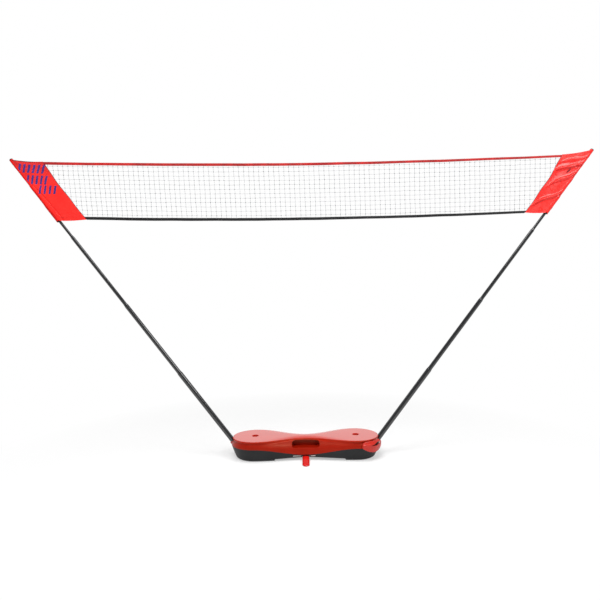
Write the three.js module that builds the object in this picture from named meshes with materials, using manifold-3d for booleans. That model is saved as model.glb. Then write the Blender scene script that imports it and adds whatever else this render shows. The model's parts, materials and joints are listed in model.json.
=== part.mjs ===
// Portable badminton net standing on its carry case: two leaning telescopic poles, a net and a cross foot.
// Millimetres. X runs along the net, -Y is the front, +Z is up; the origin is on the floor under the middle.
import * as THREE from 'three';
import { mergeVertices } from 'three/addons/utils/BufferGeometryUtils.js';
import Module from 'manifold-3d';

const wasm = await Module();
wasm.setup();

// Stance
const poleLean = THREE.MathUtils.degToRad(37.45);
const poleFootInset = 5;          // pole axis at the mouth of its socket, inside the seam's tip
const poleFootZ = 82.5;
const seatGap = 0.3;              // between pieces that rest on each other
const cutOverrun = 40;            // how far a cutter runs past what it cuts

// Telescopic poles
const tubeDiameter = 26;          // lowest, widest section
const tubeWall = 1.2;
const tubePlay = 0.8;             // radial room between nested sections
const topSection = 3;             // number of the top section; the lowest is 0
const sectionExposed = 448;       // what shows of each lower section
const topExposed = 504;
const tubeOverlap = 60;           // what stays inside the section below
const neckLength = 9;             // drawn-in mouth of a section
const neckTaper = 4;
const plugFlange = 2.5;           // slider that closes the foot of a section
const plugSpigot = 26;
const socketWall = 3;
const socketPlay = 0.4;
const socketFloor = 3;
const socketRim = 7;              // thicker mouth of the socket
const socketRimStep = 0.8;
const tipCapFlange = 0.8;         // how far the tip cap stands out over the pocket
const tipCapHeight = 8;
const tipCapRimShare = 0.3;       // of that height, below its dome
const domeSteps = 4;
const tipSpigot = 22;

// Carry case
const lobeOffset = 259;           // middle of each round end
const seamRadius = 122;
const seamWaist = 85;             // half width of the seam at the waist
const seamTipZ = 50;
const seamSideZ = 61;
const seamWaistZ = 27;
const caseHeight = 104;
const topInset = 8.5;             // edge of the flat top plate, inside the seam at the round ends
const topWaistInset = 47.5;       // the same at the waist
const lipHeight = 5;              // bright edge band round the top plate
const lipProud = 2.5;
const underLipInset = 11.5;
const underLipWaistInset = 40;
const underLipDrop = 10;
const shoulderInset = 8.5;
const shoulderWaistInset = 23;
const shoulderZ = 79;
const creaseInset = 3;
const creaseWaistInset = 6;
const creaseRise = 5;             // above the seam, at the round ends
const creaseWaistZ = 50;
const caseWall = 2.6;
const floorLobeZ = 2;             // underside of the round ends
const floorWaistZ = 14.5;         // underside of the raised waist
const floorStepZ = 7;             // where the raised part begins
const floorStepInset = 84;        // the step, from the middle of a round end
const floorStepRun = 6;
const bottomInset = 32;
const bottomWaistInset = 12;
const haunchInset = 24;
const haunchWaistInset = 8;
const haunchRise = 4.5;
const flankInset = 15;
const flankWaistInset = 5;
const flankShare = 0.5;           // height of the flank between floor and seam
const arcSteps = 8;
const waistSteps = 7;

// Hand recesses, round dimples and pole notches of the upper shell
const recessLength = 140;
const recessHeight = 30;
const recessMiddleZ = 78;
const recessSteps = 6;            // facets round each end of a recess
const recessBackY = 27;           // how near the two recesses come to the middle plane
const dimpleRadius = 14;
const dimpleDepth = 11;
const notchHalfWidth = 26;        // lets the lid swing up past the pole socket
const notchTopZ = 78;
const notchRadius = 19.5;
const notchReach = 58;            // from the pole's foot towards the middle
const cradleRibs = 3;             // ribs of the lower shell that carry a socket
const cradleSpacing = 12;
const cradleThickness = 3;
const cradleReach = 70;           // from the pole's foot towards the middle
const cradleDrop = 3;             // below the seam at the tip

// Cross foot and rubber pads
const footLength = 344;
const footWidth = 36;
const footHeight = 22;
const footEndHeight = 11;
const footEdge = 7;               // rounding of its upper edges
const footEdgeShare = 0.6;        // most of its width or height that this rounding takes
const footSoleShare = 0.33;       // rounding of its lower edges, of the upper one
const footSlopeStartShare = 0.55;      // where it begins to slope down, of its half length
const footTipDropShare = 0.75;         // how much flatter its tip is
const footTipShare = 0.998;       // last station, of its half length
const footSteps = 8;
const edgeSteps = 3;
const footPlay = 0.5;
const channelWall = 2.6;
const padThickness = 1.6;
const footPadRadius = 13;
const basePadInset = 10;          // one rubber ring under each round end, inside the edge of its floor
const basePadWidth = 12;

// Lid hinges
const hingeWidth = 44;
const hingeKnuckle = 15;          // length of the middle knuckle
const hingeBarrelRadius = 4.6;
const hingeBore = 2.2;
const hingePinRadius = 1.8;
const hingeOut = 0.6;             // barrel clear of the seam
const leafHeight = 17;
const leafThickness = 3.2;
const leafGap = 1.2;              // between the knuckles of the two leaves
const screwRadius = 3.2;
const screwHeight = 1.4;
const screwSpacing = 26;
const screwRow = 9;               // from the seam

// Catch at the right front corner
const catchBearing = THREE.MathUtils.degToRad(48);
const catchStandOff = 4;          // inner face, from the seam
const catchFlare = 5;             // how much further out its top edge stands
const catchBelly = 2;             // bulge of the outer face
const catchThickness = 3;
const catchBottomZ = 43;
const catchTopZ = 88;
const catchHalfWidth = 55;
const catchMiddleZ = 75;          // middle and half height of its oval outline
const catchHalfHeight = 31;
const catchPivotZ = 48;
const catchPivotIn = 3.8;         // pivot from the inner face, towards the case
const catchKnuckle = 16;
const catchKnuckleRadius = 2.6;
const catchEar = 4;
const catchEarGap = 0.6;
const catchPinRadius = 1.1;
const catchPinBore = 1.4;
const catchWeb = 4;
const bracketThickness = 2.4;
const bracketHeight = 12;
const strikeRadius = 1.6;
const strikeLength = 34;
const strikeZ = 82;
const strikeOut = 7;              // from the wall under the lip
const ovalSides = 32;

// Net, tapes and end panels
const panelTopWidth = 158;
const panelBottomWidth = 126;
const panelTopDrop = 22;          // from the tip down to the net's top corner
const panelBottomRise = 14;       // inner bottom corner above the outer one
const netTopSag = 13;
const netBottomSag = 22;
const pocketLength = 400;
const pocketPlay = 0.8;
const pocketMargin = 8;           // pocket length kept wide past the sections that slide into it
const telescopeTravel = 330;      // of each sliding section
const clothThickness = 0.9;
const panelThickness = 1.6;
const panelFold = 5;              // depth of the folds of an end panel
const panelFoldFootShare = 0.4;        // of that depth, at its bottom edge
const panelColumns = 6;
const panelRows = 8;
const bindingWidth = 5;
const bindingThickness = 3;
const topTapeHeight = 12.5;
const bottomTapeHeight = 11;
const tapeThickness = 2;
const strandWidth = 2.4;
const strandThickness = 1.4;
const netRows = 5;
const netColumns = 24;
const tapeSteps = 12;
const edgePasses = 6;             // passes that find where a band meets the slanted edge

const roundSides = 12;            // facets round a tube
const ringSides = 56;             // facets round the catch, before it is trimmed
const finish = (color, roughness, metalness) =>
  new THREE.MeshStandardMaterial({ color, roughness, metalness });
const looks = {
  redPlastic: finish(0xc4281c, 0.35, 0),
  blackPlastic: finish(0x26282a, 0.5, 0),
  blackMetal: finish(0x2b2c2f, 0.35, 0.6),
  steel: finish(0xb8babd, 0.3, 1),
  rubber: finish(0x161616, 0.9, 0),
  redCloth: finish(0xd8261c, 0.8, 0),
  darkRedTape: finish(0x9a1f1f, 0.85, 0),
  blackTape: finish(0x151515, 0.85, 0),
  netTwine: finish(0xc9cbce, 0.8, 0),
};

const mix = THREE.MathUtils.lerp;
const vec = (x, y, z) => new THREE.Vector3(x, y, z);
const upright = vec(0, 1, 0);
const poleFootX = lobeOffset + seamRadius - poleFootInset;
const floorStepX = lobeOffset - floorStepInset;
const poleLength = topSection * sectionExposed + topExposed;
const poleDirection = vec(Math.sin(poleLean), 0, Math.cos(poleLean));
const alongPole = (distance) =>
  vec(poleFootX, 0, poleFootZ).addScaledVector(poleDirection, distance);
const tubeRadius = (section) => tubeDiameter / 2 - section * (tubeWall + tubePlay);

// Closed bodies

function body(geometry) {
  const bare = geometry.clone();
  bare.deleteAttribute('normal');
  bare.deleteAttribute('uv');
  const merged = mergeVertices(bare);
  return new wasm.Manifold(new wasm.Mesh({
    numProp: 3,
    vertProperties: Float32Array.from(merged.attributes.position.array),
    triVerts: Uint32Array.from(merged.index.array),
  }));
}

function shape(solid) {
  const mesh = solid.getMesh();
  const geometry = new THREE.BufferGeometry();
  geometry.setAttribute('position', new THREE.BufferAttribute(mesh.vertProperties, 3));
  geometry.setIndex(new THREE.BufferAttribute(mesh.triVerts, 1));
  return geometry;
}

const join = (solids) => solids.reduce((all, next) => all.add(next));
const cut = (solid, cutters) => cutters.reduce((left, cutter) => left.subtract(cutter), solid);

function fromTriangles(points, triangles) {
  const geometry = new THREE.BufferGeometry();
  const numbers = points.flatMap((p) => [p.x, p.y, p.z]);
  geometry.setAttribute('position', new THREE.Float32BufferAttribute(numbers, 3));
  geometry.setIndex(triangles);
  return geometry;
}

function mirrored(geometry) {
  const copy = mergeVertices(geometry.clone());
  copy.applyMatrix4(new THREE.Matrix4().makeScale(-1, 1, 1));
  const index = Array.from(copy.index.array);
  for (let i = 0; i < index.length; i += 3) {
    [index[i], index[i + 1]] = [index[i + 1], index[i]];
  }
  copy.setIndex(index);
  return copy;
}

function box(low, high) {
  const size = high.clone().sub(low);
  const middle = low.clone().add(high).multiplyScalar(0.5);
  return new THREE.BoxGeometry(size.x, size.y, size.z).translate(middle.x, middle.y, middle.z);
}

// A solid of revolution from [radius, height] pairs. The profile ends on the axis, or closes on itself.
function turned(profile, sides = roundSides) {
  const points = profile.map(([radius, height]) => new THREE.Vector2(radius, height));
  if (profile[0][0] > 0) points.push(points[0].clone());
  return new THREE.LatheGeometry(points, sides);
}

function rod(from, to, radius) {
  const direction = to.clone().sub(from).normalize();
  const middle = from.clone().add(to).multiplyScalar(0.5);
  return new THREE.CylinderGeometry(radius, radius, from.distanceTo(to), roundSides)
    .applyQuaternion(new THREE.Quaternion().setFromUnitVectors(upright, direction))
    .translate(middle.x, middle.y, middle.z);
}

function disc(x, fromZ, toZ, radius) {
  return rod(vec(x, 0, fromZ), vec(x, 0, toZ), radius);
}

// A length measured up the right pole, as a solid in place.
function onPole(geometry, distance = 0) {
  const foot = alongPole(distance);
  return geometry
    .applyQuaternion(new THREE.Quaternion().setFromUnitVectors(upright, poleDirection))
    .translate(foot.x, foot.y, foot.z);
}

// Rings with the same number of points, joined in order. The two end rings are closed by strips
// between the points that face each other across the long axis.
function loft(rings) {
  const count = rings[0].length;
  const triangles = [];
  for (let k = 0; k < rings.length - 1; k++) {
    for (let i = 0; i < count; i++) {
      const a = k * count + i;
      const b = k * count + (i + 1) % count;
      triangles.push(a, b, b + count, a, b + count, a + count);
    }
  }
  const last = (rings.length - 1) * count;
  for (let i = 0; i < count / 2; i++) {
    const [a, b, c, d] = [i, i + 1, (count - i) % count, count - i - 1];
    if (a !== c) triangles.push(a, c, b, last + a, last + b, last + c);
    if (b !== d) triangles.push(b, c, d, last + b, last + d, last + c);
  }
  return fromTriangles(rings.flat(), triangles);
}

// A thin sheet over a grid: place(u, v) is its middle surface, with u along X and v upwards.
function sheet(columns, rows, thickness, place) {
  const points = [];
  for (const side of [-0.5, 0.5]) {
    for (let j = 0; j <= rows; j++) {
      for (let i = 0; i <= columns; i++) {
        points.push(place(i / columns, j / rows).add(vec(0, side * thickness, 0)));
      }
    }
  }
  const width = columns + 1;
  const back = width * (rows + 1);
  const triangles = [];
  const quad = (a, b, c, d) => triangles.push(a, b, c, a, c, d);
  for (let j = 0; j < rows; j++) {
    for (let i = 0; i < columns; i++) {
      const a = j * width + i;
      quad(a, a + 1, a + 1 + width, a + width);
      quad(back + a, back + a + width, back + a + 1 + width, back + a + 1);
    }
    const end = j * width + columns;
    quad(j * width, (j + 1) * width, back + (j + 1) * width, back + j * width);
    quad(end, back + end, back + end + width, end + width);
  }
  const top = rows * width;
  for (let i = 0; i < columns; i++) {
    quad(i, back + i, back + i + 1, i + 1);
    quad(top + i, top + i + 1, back + top + i + 1, back + top + i);
  }
  return fromTriangles(points, triangles);
}

// Levels of the case: rings with two round ends and a drawn-in waist, anticlockwise from above

function level({ radius, waist, tipZ, sideZ, waistZ, stepZ }) {
  const quarter = [];
  for (let i = 0; i <= arcSteps; i++) {
    const a = (i / arcSteps) * Math.PI / 2;
    const z = mix(tipZ, sideZ, Math.sin(a) ** 2);
    quarter.push(vec(lobeOffset + radius * Math.cos(a), radius * Math.sin(a), z));
  }
  const stations = [floorStepX + floorStepRun, floorStepX];
  for (let i = 1; i <= waistSteps; i++) stations.push(lobeOffset * (1 - i / waistSteps));
  stations.sort((a, b) => b - a);
  for (const x of stations) {
    const draw = (1 - Math.cos((1 - x / lobeOffset) * Math.PI)) / 2;
    const raised = x > floorStepX ? sideZ : mix(waistZ, stepZ, x / floorStepX);
    const z = stepZ === undefined ? mix(sideZ, waistZ, draw) : raised;
    quarter.push(vec(x, mix(radius, waist, draw), z));
  }
  const half = [...quarter, ...quarter.slice(0, -1).reverse().map((p) => vec(-p.x, p.y, p.z))];
  return [...half, ...half.slice(1, -1).reverse().map((p) => vec(p.x, -p.y, p.z))];
}

// A level at one height, inside the seam's outline.
const flat = (inset, waistInset, z) =>
  ({ radius: seamRadius - inset, waist: seamWaist - waistInset, tipZ: z, sideZ: z, waistZ: z });
const inward = (spec, wall) => ({ ...spec, radius: spec.radius - wall, waist: spec.waist - wall });
const raise = (spec, by) => ({
  ...spec,
  tipZ: spec.tipZ + by,
  sideZ: spec.sideZ + by,
  waistZ: spec.waistZ + by,
  stepZ: spec.stepZ === undefined ? undefined : spec.stepZ + by,
});
const seam = { radius: seamRadius, waist: seamWaist, tipZ: seamTipZ, sideZ: seamSideZ, waistZ: seamWaistZ };
const crease = {
  ...raise(seam, creaseRise),
  radius: seamRadius - creaseInset,
  waist: seamWaist - creaseWaistInset,
  waistZ: creaseWaistZ,
};
const shoulder = flat(shoulderInset, shoulderWaistInset, shoulderZ);
const underLip = flat(underLipInset, underLipWaistInset, caseHeight - underLipDrop);
const lip = flat(topInset - lipProud, topWaistInset - lipProud, caseHeight - lipHeight);
const topEdge = flat(topInset, topWaistInset, caseHeight);
const upperLevels = [seam, crease, shoulder, underLip, lip, raise(lip, lipHeight / 2), topEdge];
const bottom = {
  ...flat(bottomInset, bottomWaistInset, floorLobeZ),
  waistZ: floorWaistZ,
  stepZ: floorStepZ,
};
const haunch = {
  ...flat(haunchInset, haunchWaistInset, floorLobeZ + haunchRise),
  waistZ: floorWaistZ + haunchRise / 2,
};
const flank = {
  radius: seamRadius - flankInset,
  waist: seamWaist - flankWaistInset,
  tipZ: mix(floorLobeZ, seamTipZ, flankShare),
  sideZ: mix(floorLobeZ, seamSideZ, flankShare),
  waistZ: mix(floorWaistZ, seamWaistZ, flankShare),
};
const lowerRim = raise(seam, -seatGap);
const lowerLevels = [bottom, haunch, flank, lowerRim];
const filled = (specs, grow) => body(loft(specs.map((spec) => level(inward(spec, -grow)))));

// Upper shell: the red lid, with a hand recess in each long side and a notch for each pole

function stadium(length, height, fromY, toY) {
  const outline = new THREE.Shape();
  const reach = (length - height) / 2;
  outline.absarc(reach, recessMiddleZ, height / 2, -Math.PI / 2, Math.PI / 2, false);
  outline.absarc(-reach, recessMiddleZ, height / 2, Math.PI / 2, Math.PI * 1.5, false);
  const run = { depth: toY - fromY, bevelEnabled: false, curveSegments: recessSteps };
  return new THREE.ExtrudeGeometry(outline, run).rotateX(Math.PI / 2).translate(0, toY, 0);
}

function handRecess(side) {
  const outer = [recessBackY, seamRadius + cutOverrun];
  const inner = [recessBackY + caseWall, seamRadius + cutOverrun];
  const run = ([near, far]) => (side > 0 ? [near, far] : [-far, -near]);
  return {
    wall: body(stadium(recessLength + 2 * caseWall, recessHeight + 2 * caseWall, ...run(outer))),
    space: body(stadium(recessLength, recessHeight, ...run(inner))),
  };
}

function poleNotch() {
  const low = vec(poleFootX - notchReach, -notchHalfWidth, -cutOverrun);
  const high = vec(lobeOffset + seamRadius + cutOverrun, notchHalfWidth, notchTopZ);
  const hole = rod(alongPole(-2 * cutOverrun), alongPole(2 * cutOverrun), notchRadius);
  return body(box(low, high)).add(body(hole));
}

function upperShell() {
  const ceiling = raise(inward(topEdge, 2 * caseWall), -caseWall);
  const walls = [underLip, shoulder, crease, seam].map((spec) => inward(spec, caseWall));
  const shell = body(loft([ceiling, ...walls, ...upperLevels].map(level)));
  const outer = filled(upperLevels, 0);
  const recesses = [-1, 1].map(handRecess);
  const cupFloor = caseHeight - dimpleDepth;
  const cups = [-lobeOffset, lobeOffset].map((x) => ({
    wall: body(disc(x, cupFloor - caseWall, caseHeight - caseWall / 2, dimpleRadius + caseWall)),
    space: body(disc(x, cupFloor, caseHeight + cutOverrun, dimpleRadius)),
  }));
  const features = [...recesses, ...cups];
  const whole = join([shell, ...features.map((feature) => feature.wall.intersect(outer))]);
  const notch = shape(poleNotch());
  return cut(whole, [...features.map((feature) => feature.space), body(notch), body(mirrored(notch))]);
}

// Lower shell: the black tray, with ribs that carry the sockets and a channel for the cross foot

const socketRadius = tubeRadius(0) + socketPlay + socketWall;
const socketBottom = -(tubeOverlap + plugFlange + 2 * seatGap + socketFloor);

function lowerShell() {
  const inside = [inward(lowerRim, caseWall), inward(flank, caseWall)];
  inside.push(raise(inward(haunch, caseWall), caseWall), raise(inward(bottom, caseWall), caseWall));
  const shell = body(loft([...lowerLevels, ...inside].map(level)));
  const outer = filled(lowerLevels, 0);
  const channelHalf = footWidth / 2 + footPlay;
  const channelTop = padThickness + footHeight + footPlay;
  const across = seamWaist + cutOverrun;
  const hood = body(box(
    vec(-channelHalf - channelWall, -across, 0),
    vec(channelHalf + channelWall, across, caseHeight),
  )).intersect(outer);
  const channel = body(box(vec(-channelHalf, -across, -cutOverrun), vec(channelHalf, across, channelTop)));
  const ribs = [];
  for (let i = 0; i < cradleRibs; i++) {
    const y = (i - (cradleRibs - 1) / 2) * cradleSpacing;
    const low = vec(poleFootX - cradleReach, y - cradleThickness / 2, 0);
    const high = vec(lobeOffset + seamRadius, y + cradleThickness / 2, seamTipZ - cradleDrop);
    ribs.push(box(low, high));
  }
  const carried = ribs.flatMap((rib) => [rib, mirrored(rib)]).map((rib) => body(rib).intersect(outer));
  const seatRadius = (socketRadius + seatGap) / Math.cos(Math.PI / roundSides);
  const seat = rod(alongPole(socketBottom - seatGap), alongPole(cutOverrun), seatRadius);
  return cut(join([shell, hood, ...carried]), [channel, body(seat), body(mirrored(seat))]);
}

// Poles: sockets, four nested sections, their sliders and the tip cap, all measured up the pole

function socket() {
  const bore = tubeRadius(0) + socketPlay;
  return turned([
    [0, socketBottom],
    [socketRadius, socketBottom],
    [socketRadius, -socketRim - socketRimStep],
    [socketRadius + socketRimStep, -socketRim],
    [socketRadius + socketRimStep, 0],
    [bore, 0],
    [bore, socketBottom + socketFloor],
    [0, socketBottom + socketFloor],
  ]);
}

function tubeSection(section) {
  const outer = tubeRadius(section);
  const inner = outer - tubeWall;
  if (section === topSection) {
    const length = topExposed + tubeOverlap;
    return turned([[outer, 0], [outer, length], [inner, length], [inner, 0]]);
  }
  const length = sectionExposed + tubeOverlap;
  const mouth = tubeRadius(section + 1) + seatGap;
  return turned([
    [outer, 0],
    [outer, length - neckLength],
    [mouth + tubeWall / 2, length - neckLength + neckTaper],
    [mouth + tubeWall / 2, length],
    [mouth, length],
    [mouth, length - neckLength + neckTaper],
    [inner, length - neckLength - neckTaper],
    [inner, 0],
  ]);
}

// The slider's flange runs in the bore of the section below; its spigot fills the tube's own foot.
function slider(section) {
  const bore = section === 0 ? tubeRadius(0) + socketPlay : tubeRadius(section - 1) - tubeWall;
  const spigot = tubeRadius(section) - tubeWall - seatGap;
  return turned([
    [0, -plugFlange - seatGap],
    [bore - seatGap, -plugFlange - seatGap],
    [bore - seatGap, -seatGap],
    [spigot, -seatGap],
    [spigot, plugSpigot - spigot / 2],
    [spigot / 2, plugSpigot],
    [0, plugSpigot],
  ]);
}

function tipCap() {
  const spigot = tubeRadius(topSection) - tubeWall - seatGap;
  const flange = tubeRadius(topSection) + pocketPlay + clothThickness + tipCapFlange;
  const profile = [[0, -tipSpigot], [spigot, -tipSpigot], [spigot, seatGap], [flange, seatGap]];
  for (let i = 0; i < domeSteps; i++) {
    const a = (i / domeSteps) * Math.PI / 2;
    profile.push([flange * Math.cos(a), tipCapHeight * mix(tipCapRimShare, 1, Math.sin(a))]);
  }
  profile.push([0, tipCapHeight]);
  return turned(profile);
}

// End panels: a cloth fin with a pocket that slips down over the top section

const pocketSteps = [
  [tubeRadius(topSection - 2), 2 * telescopeTravel - topExposed - sectionExposed],
  [tubeRadius(topSection - 1), telescopeTravel - topExposed],
  [tubeRadius(topSection), 0],
];

function pocketProfile(extra, overrun) {
  const profile = [[0, -pocketLength - overrun]];
  let from = -pocketLength - overrun;
  for (const [radius, reach] of pocketSteps) {
    const to = reach === 0 ? overrun : reach + pocketMargin;
    profile.push([radius + pocketPlay + extra, from], [radius + pocketPlay + extra, to]);
    from = to + pocketMargin;
  }
  profile.push([0, overrun]);
  return profile;
}

const outerTop = alongPole(poleLength);
const outerBottom = alongPole(poleLength - pocketLength);
const innerTop = vec(outerTop.x - panelTopWidth, 0, outerTop.z - panelTopDrop);
const innerBottom = vec(outerBottom.x - panelBottomWidth, 0, outerBottom.z + panelBottomRise);
const innerEdge = (v) => innerBottom.clone().lerp(innerTop, v);

function endPanel() {
  const fin = sheet(panelColumns, panelRows, panelThickness, (u, v) => {
    const inner = innerEdge(v).add(vec(bindingWidth + seatGap, 0, 0));
    const pole = outerBottom.clone().lerp(outerTop, v);
    const depth = panelFold * Math.sin(Math.PI * u) * mix(panelFoldFootShare, 1, v);
    return inner.lerp(pole, u).add(vec(0, depth * Math.sin(2 * Math.PI * (v + u / 2)), 0));
  });
  const pocket = body(onPole(turned(pocketProfile(clothThickness, 0)), poleLength));
  const bore = body(onPole(turned(pocketProfile(0, cutOverrun)), poleLength));
  return pocket.add(body(fin)).subtract(bore);
}

function edgeBinding() {
  return sheet(1, panelRows, bindingThickness, (u, v) => innerEdge(v).add(vec(u * bindingWidth, 0, 0)));
}

// Net and tapes, from the middle out to the slanted edge of the end panel

const netTop = (x) => innerTop.z - netTopSag * (1 - (x / innerTop.x) ** 2);
const netBottom = (x) => innerBottom.z - netBottomSag * (1 - (x / innerBottom.x) ** 2);
const slantX = (z) =>
  mix(innerBottom.x, innerTop.x, (z - innerBottom.z) / (innerTop.z - innerBottom.z)) - seatGap;

// A point of the band between two heights that depend on x, whose outer end lies on the slanted edge.
function inBand(low, high, u, v) {
  let end = innerBottom.x;
  for (let pass = 0; pass < edgePasses; pass++) end = slantX(mix(low(end), high(end), v));
  const x = mix(seatGap / 2, end, u);
  return vec(x, 0, mix(low(x), high(x), v));
}

const topTapeLow = (x) => netTop(x) - topTapeHeight;
const bottomTapeHigh = (x) => netBottom(x) + bottomTapeHeight;
const topTape = () => sheet(tapeSteps, 1, tapeThickness, (u, v) => inBand(topTapeLow, netTop, u, v));
const bottomTape = () =>
  sheet(tapeSteps, 1, tapeThickness, (u, v) => inBand(netBottom, bottomTapeHigh, u, v));

function netHalf() {
  const low = (x) => bottomTapeHigh(x) + seatGap;
  const high = (x) => topTapeLow(x) - seatGap;
  const width = innerTop.x / netColumns;
  const height = (innerTop.z - innerBottom.z - topTapeHeight - bottomTapeHeight) / netRows;
  const [edgeU, edgeV] = [strandWidth / 2 / width, strandWidth / 2 / height];
  const points = [];
  const triangles = [];
  const pair = (i, j) => {
    for (const y of [-strandThickness / 2, strandThickness / 2]) {
      points.push(inBand(low, high, i / netColumns, j / netRows).add(vec(0, y, 0)));
    }
    return points.length - 2;
  };
  const quad = (a, b, c, d) => triangles.push(a, b, c, a, c, d);
  const knots = [];
  for (let j = 0; j <= netRows; j++) {
    knots.push([]);
    for (let i = 0; i <= netColumns; i++) knots[j].push(pair(i, j));
  }
  for (let j = 0; j < netRows; j++) {
    for (let i = 0; i < netColumns; i++) {
      const outside = [knots[j][i], knots[j][i + 1], knots[j + 1][i + 1], knots[j + 1][i]];
      const inside = [
        pair(i + edgeU, j + edgeV),
        pair(i + 1 - edgeU, j + edgeV),
        pair(i + 1 - edgeU, j + 1 - edgeV),
        pair(i + edgeU, j + 1 - edgeV),
      ];
      for (let k = 0; k < 4; k++) {
        const next = (k + 1) % 4;
        quad(outside[k], outside[next], inside[next], inside[k]);
        quad(outside[k] + 1, inside[k] + 1, inside[next] + 1, outside[next] + 1);
        quad(inside[k], inside[next], inside[next] + 1, inside[k] + 1);
      }
    }
  }
  for (let i = 0; i < netColumns; i++) {
    const [a, b] = [knots[0][i], knots[0][i + 1]];
    const [c, d] = [knots[netRows][i], knots[netRows][i + 1]];
    quad(a, a + 1, b + 1, b);
    quad(c, d, d + 1, c + 1);
  }
  for (let j = 0; j < netRows; j++) {
    const [a, b] = [knots[j][0], knots[j + 1][0]];
    const [c, d] = [knots[j][netColumns], knots[j + 1][netColumns]];
    quad(a, b, b + 1, a + 1);
    quad(c, c + 1, d + 1, d);
  }
  return fromTriangles(points, triangles);
}

// Cross foot: a bar with round ends that slopes down outside its channel

function footBar() {
  const reach = footLength / 2;
  const tipRadius = footWidth / 2;
  const section = (share) => {
    const past = Math.max(0, Math.abs(share) * reach - (reach - tipRadius));
    const half = Math.sqrt(tipRadius ** 2 - past ** 2);
    const slope = THREE.MathUtils.smoothstep(Math.abs(share), footSlopeStartShare, 1);
    const round = Math.sqrt(1 - footTipDropShare * (past / tipRadius) ** 2);
    const height = mix(footHeight, footEndHeight, slope) * round;
    const edge = Math.min(footEdge, half * footEdgeShare, height * footEdgeShare);
    const sole = edge * footSoleShare;
    const side = [[0, 0], [half - sole, 0], [half, sole], [half, height - edge]];
    for (let i = 1; i <= edgeSteps; i++) {
      const a = (i / edgeSteps) * Math.PI / 2;
      side.push([half - edge * (1 - Math.cos(a)), height - edge * (1 - Math.sin(a))]);
    }
    side.push([0, height]);
    const place = ([x, z]) => vec(x, share * reach, padThickness + z);
    return [
      ...side.map(([x, z]) => place([-x, z])),
      ...side.slice(1, -1).reverse().map(place),
    ];
  };
  const rings = [];
  for (let i = -footSteps; i <= footSteps; i++) {
    rings.push(section(footTipShare * Math.sin((i / footSteps) * Math.PI / 2)));
  }
  return loft(rings);
}

function footPad(side) {
  const y = side * (footLength - footWidth) / 2;
  return disc(0, 0, padThickness - seatGap, footPadRadius).translate(0, y, 0);
}

function basePad() {
  const top = floorLobeZ - seatGap;
  const outer = seamRadius - bottomInset - basePadInset;
  const inner = outer - basePadWidth;
  const ring = [[inner, 0], [outer, 0], [outer, top], [inner, top]];
  return turned(ring, ringSides / 2).rotateX(Math.PI / 2).translate(lobeOffset, 0, 0);
}

// Lid hinges at the rear of the round ends

const hingeY = seamRadius + hingeOut + hingeBarrelRadius;
const onHinge = (fromX, toX, radius) =>
  body(rod(vec(lobeOffset + fromX, hingeY, seamSideZ), vec(lobeOffset + toX, hingeY, seamSideZ), radius));
const hingeClearances = () => [
  onHinge(-hingeWidth, hingeWidth, hingeBore),
  filled(lowerLevels, seatGap),
  filled(upperLevels, seatGap),
];
const knuckleEdge = hingeKnuckle / 2;

function leafPlate(levels, fromZ, toZ) {
  const low = vec(lobeOffset - hingeWidth / 2, seamRadius / 2, fromZ);
  const high = vec(lobeOffset + hingeWidth / 2, hingeY + cutOverrun, toZ);
  return filled(levels, leafThickness).intersect(body(box(low, high)));
}

function lowerLeaf() {
  const outerKnuckles = [
    onHinge(-hingeWidth / 2, -knuckleEdge - leafGap / 2, hingeBarrelRadius),
    onHinge(knuckleEdge + leafGap / 2, hingeWidth / 2, hingeBarrelRadius),
  ];
  const window = onHinge(-knuckleEdge - leafGap / 2, knuckleEdge + leafGap / 2, hingeBarrelRadius + leafGap);
  const plate = leafPlate(lowerLevels, seamSideZ - leafHeight, seamSideZ - leafGap).subtract(window);
  return cut(join([plate, ...outerKnuckles]), hingeClearances());
}

function upperLeaf() {
  const knuckle = onHinge(-knuckleEdge + leafGap / 2, knuckleEdge - leafGap / 2, hingeBarrelRadius);
  const windows = [
    onHinge(-hingeWidth, -knuckleEdge + leafGap / 2, hingeBarrelRadius + leafGap),
    onHinge(knuckleEdge - leafGap / 2, hingeWidth, hingeBarrelRadius + leafGap),
  ];
  const plate = cut(leafPlate(upperLevels, seamSideZ + seatGap, seamSideZ + leafHeight), windows);
  return cut(join([plate, knuckle]), hingeClearances());
}

function hingeScrew(levels, side, z) {
  const x = lobeOffset + side * screwSpacing / 2;
  const shank = body(rod(vec(x, seamRadius / 2, z), vec(x, seamRadius + cutOverrun, z), screwRadius));
  const seat = leafThickness + seatGap;
  return shank.intersect(filled(levels, seat + screwHeight)).subtract(filled(levels, seat));
}

// Catch: a curved flap that stands off the right front corner and swings out at the bottom

const catchOut = vec(Math.cos(catchBearing), -Math.sin(catchBearing), 0);
const catchAlong = vec(-Math.sin(catchBearing), -Math.cos(catchBearing), 0);
const atCatch = (out, along, z) =>
  vec(lobeOffset, 0, z).addScaledVector(catchOut, out).addScaledVector(catchAlong, along);
const catchInnerRadius = seamRadius + catchStandOff;
const catchPivot = catchInnerRadius - catchPivotIn;
const catchRod = (from, to, radius) =>
  body(rod(atCatch(catchPivot, from, catchPivotZ), atCatch(catchPivot, to, catchPivotZ), radius));
const turnedToCatch = new THREE.Matrix4()
  .makeBasis(catchAlong, catchOut, vec(0, 0, 1))
  .setPosition(lobeOffset, 0, 0);

function catchBlock(fromAlong, toAlong, fromOut, toOut, fromZ, toZ) {
  const block = box(vec(fromAlong, fromOut, fromZ), vec(toAlong, toOut, toZ));
  return body(block.applyMatrix4(turnedToCatch));
}

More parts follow.
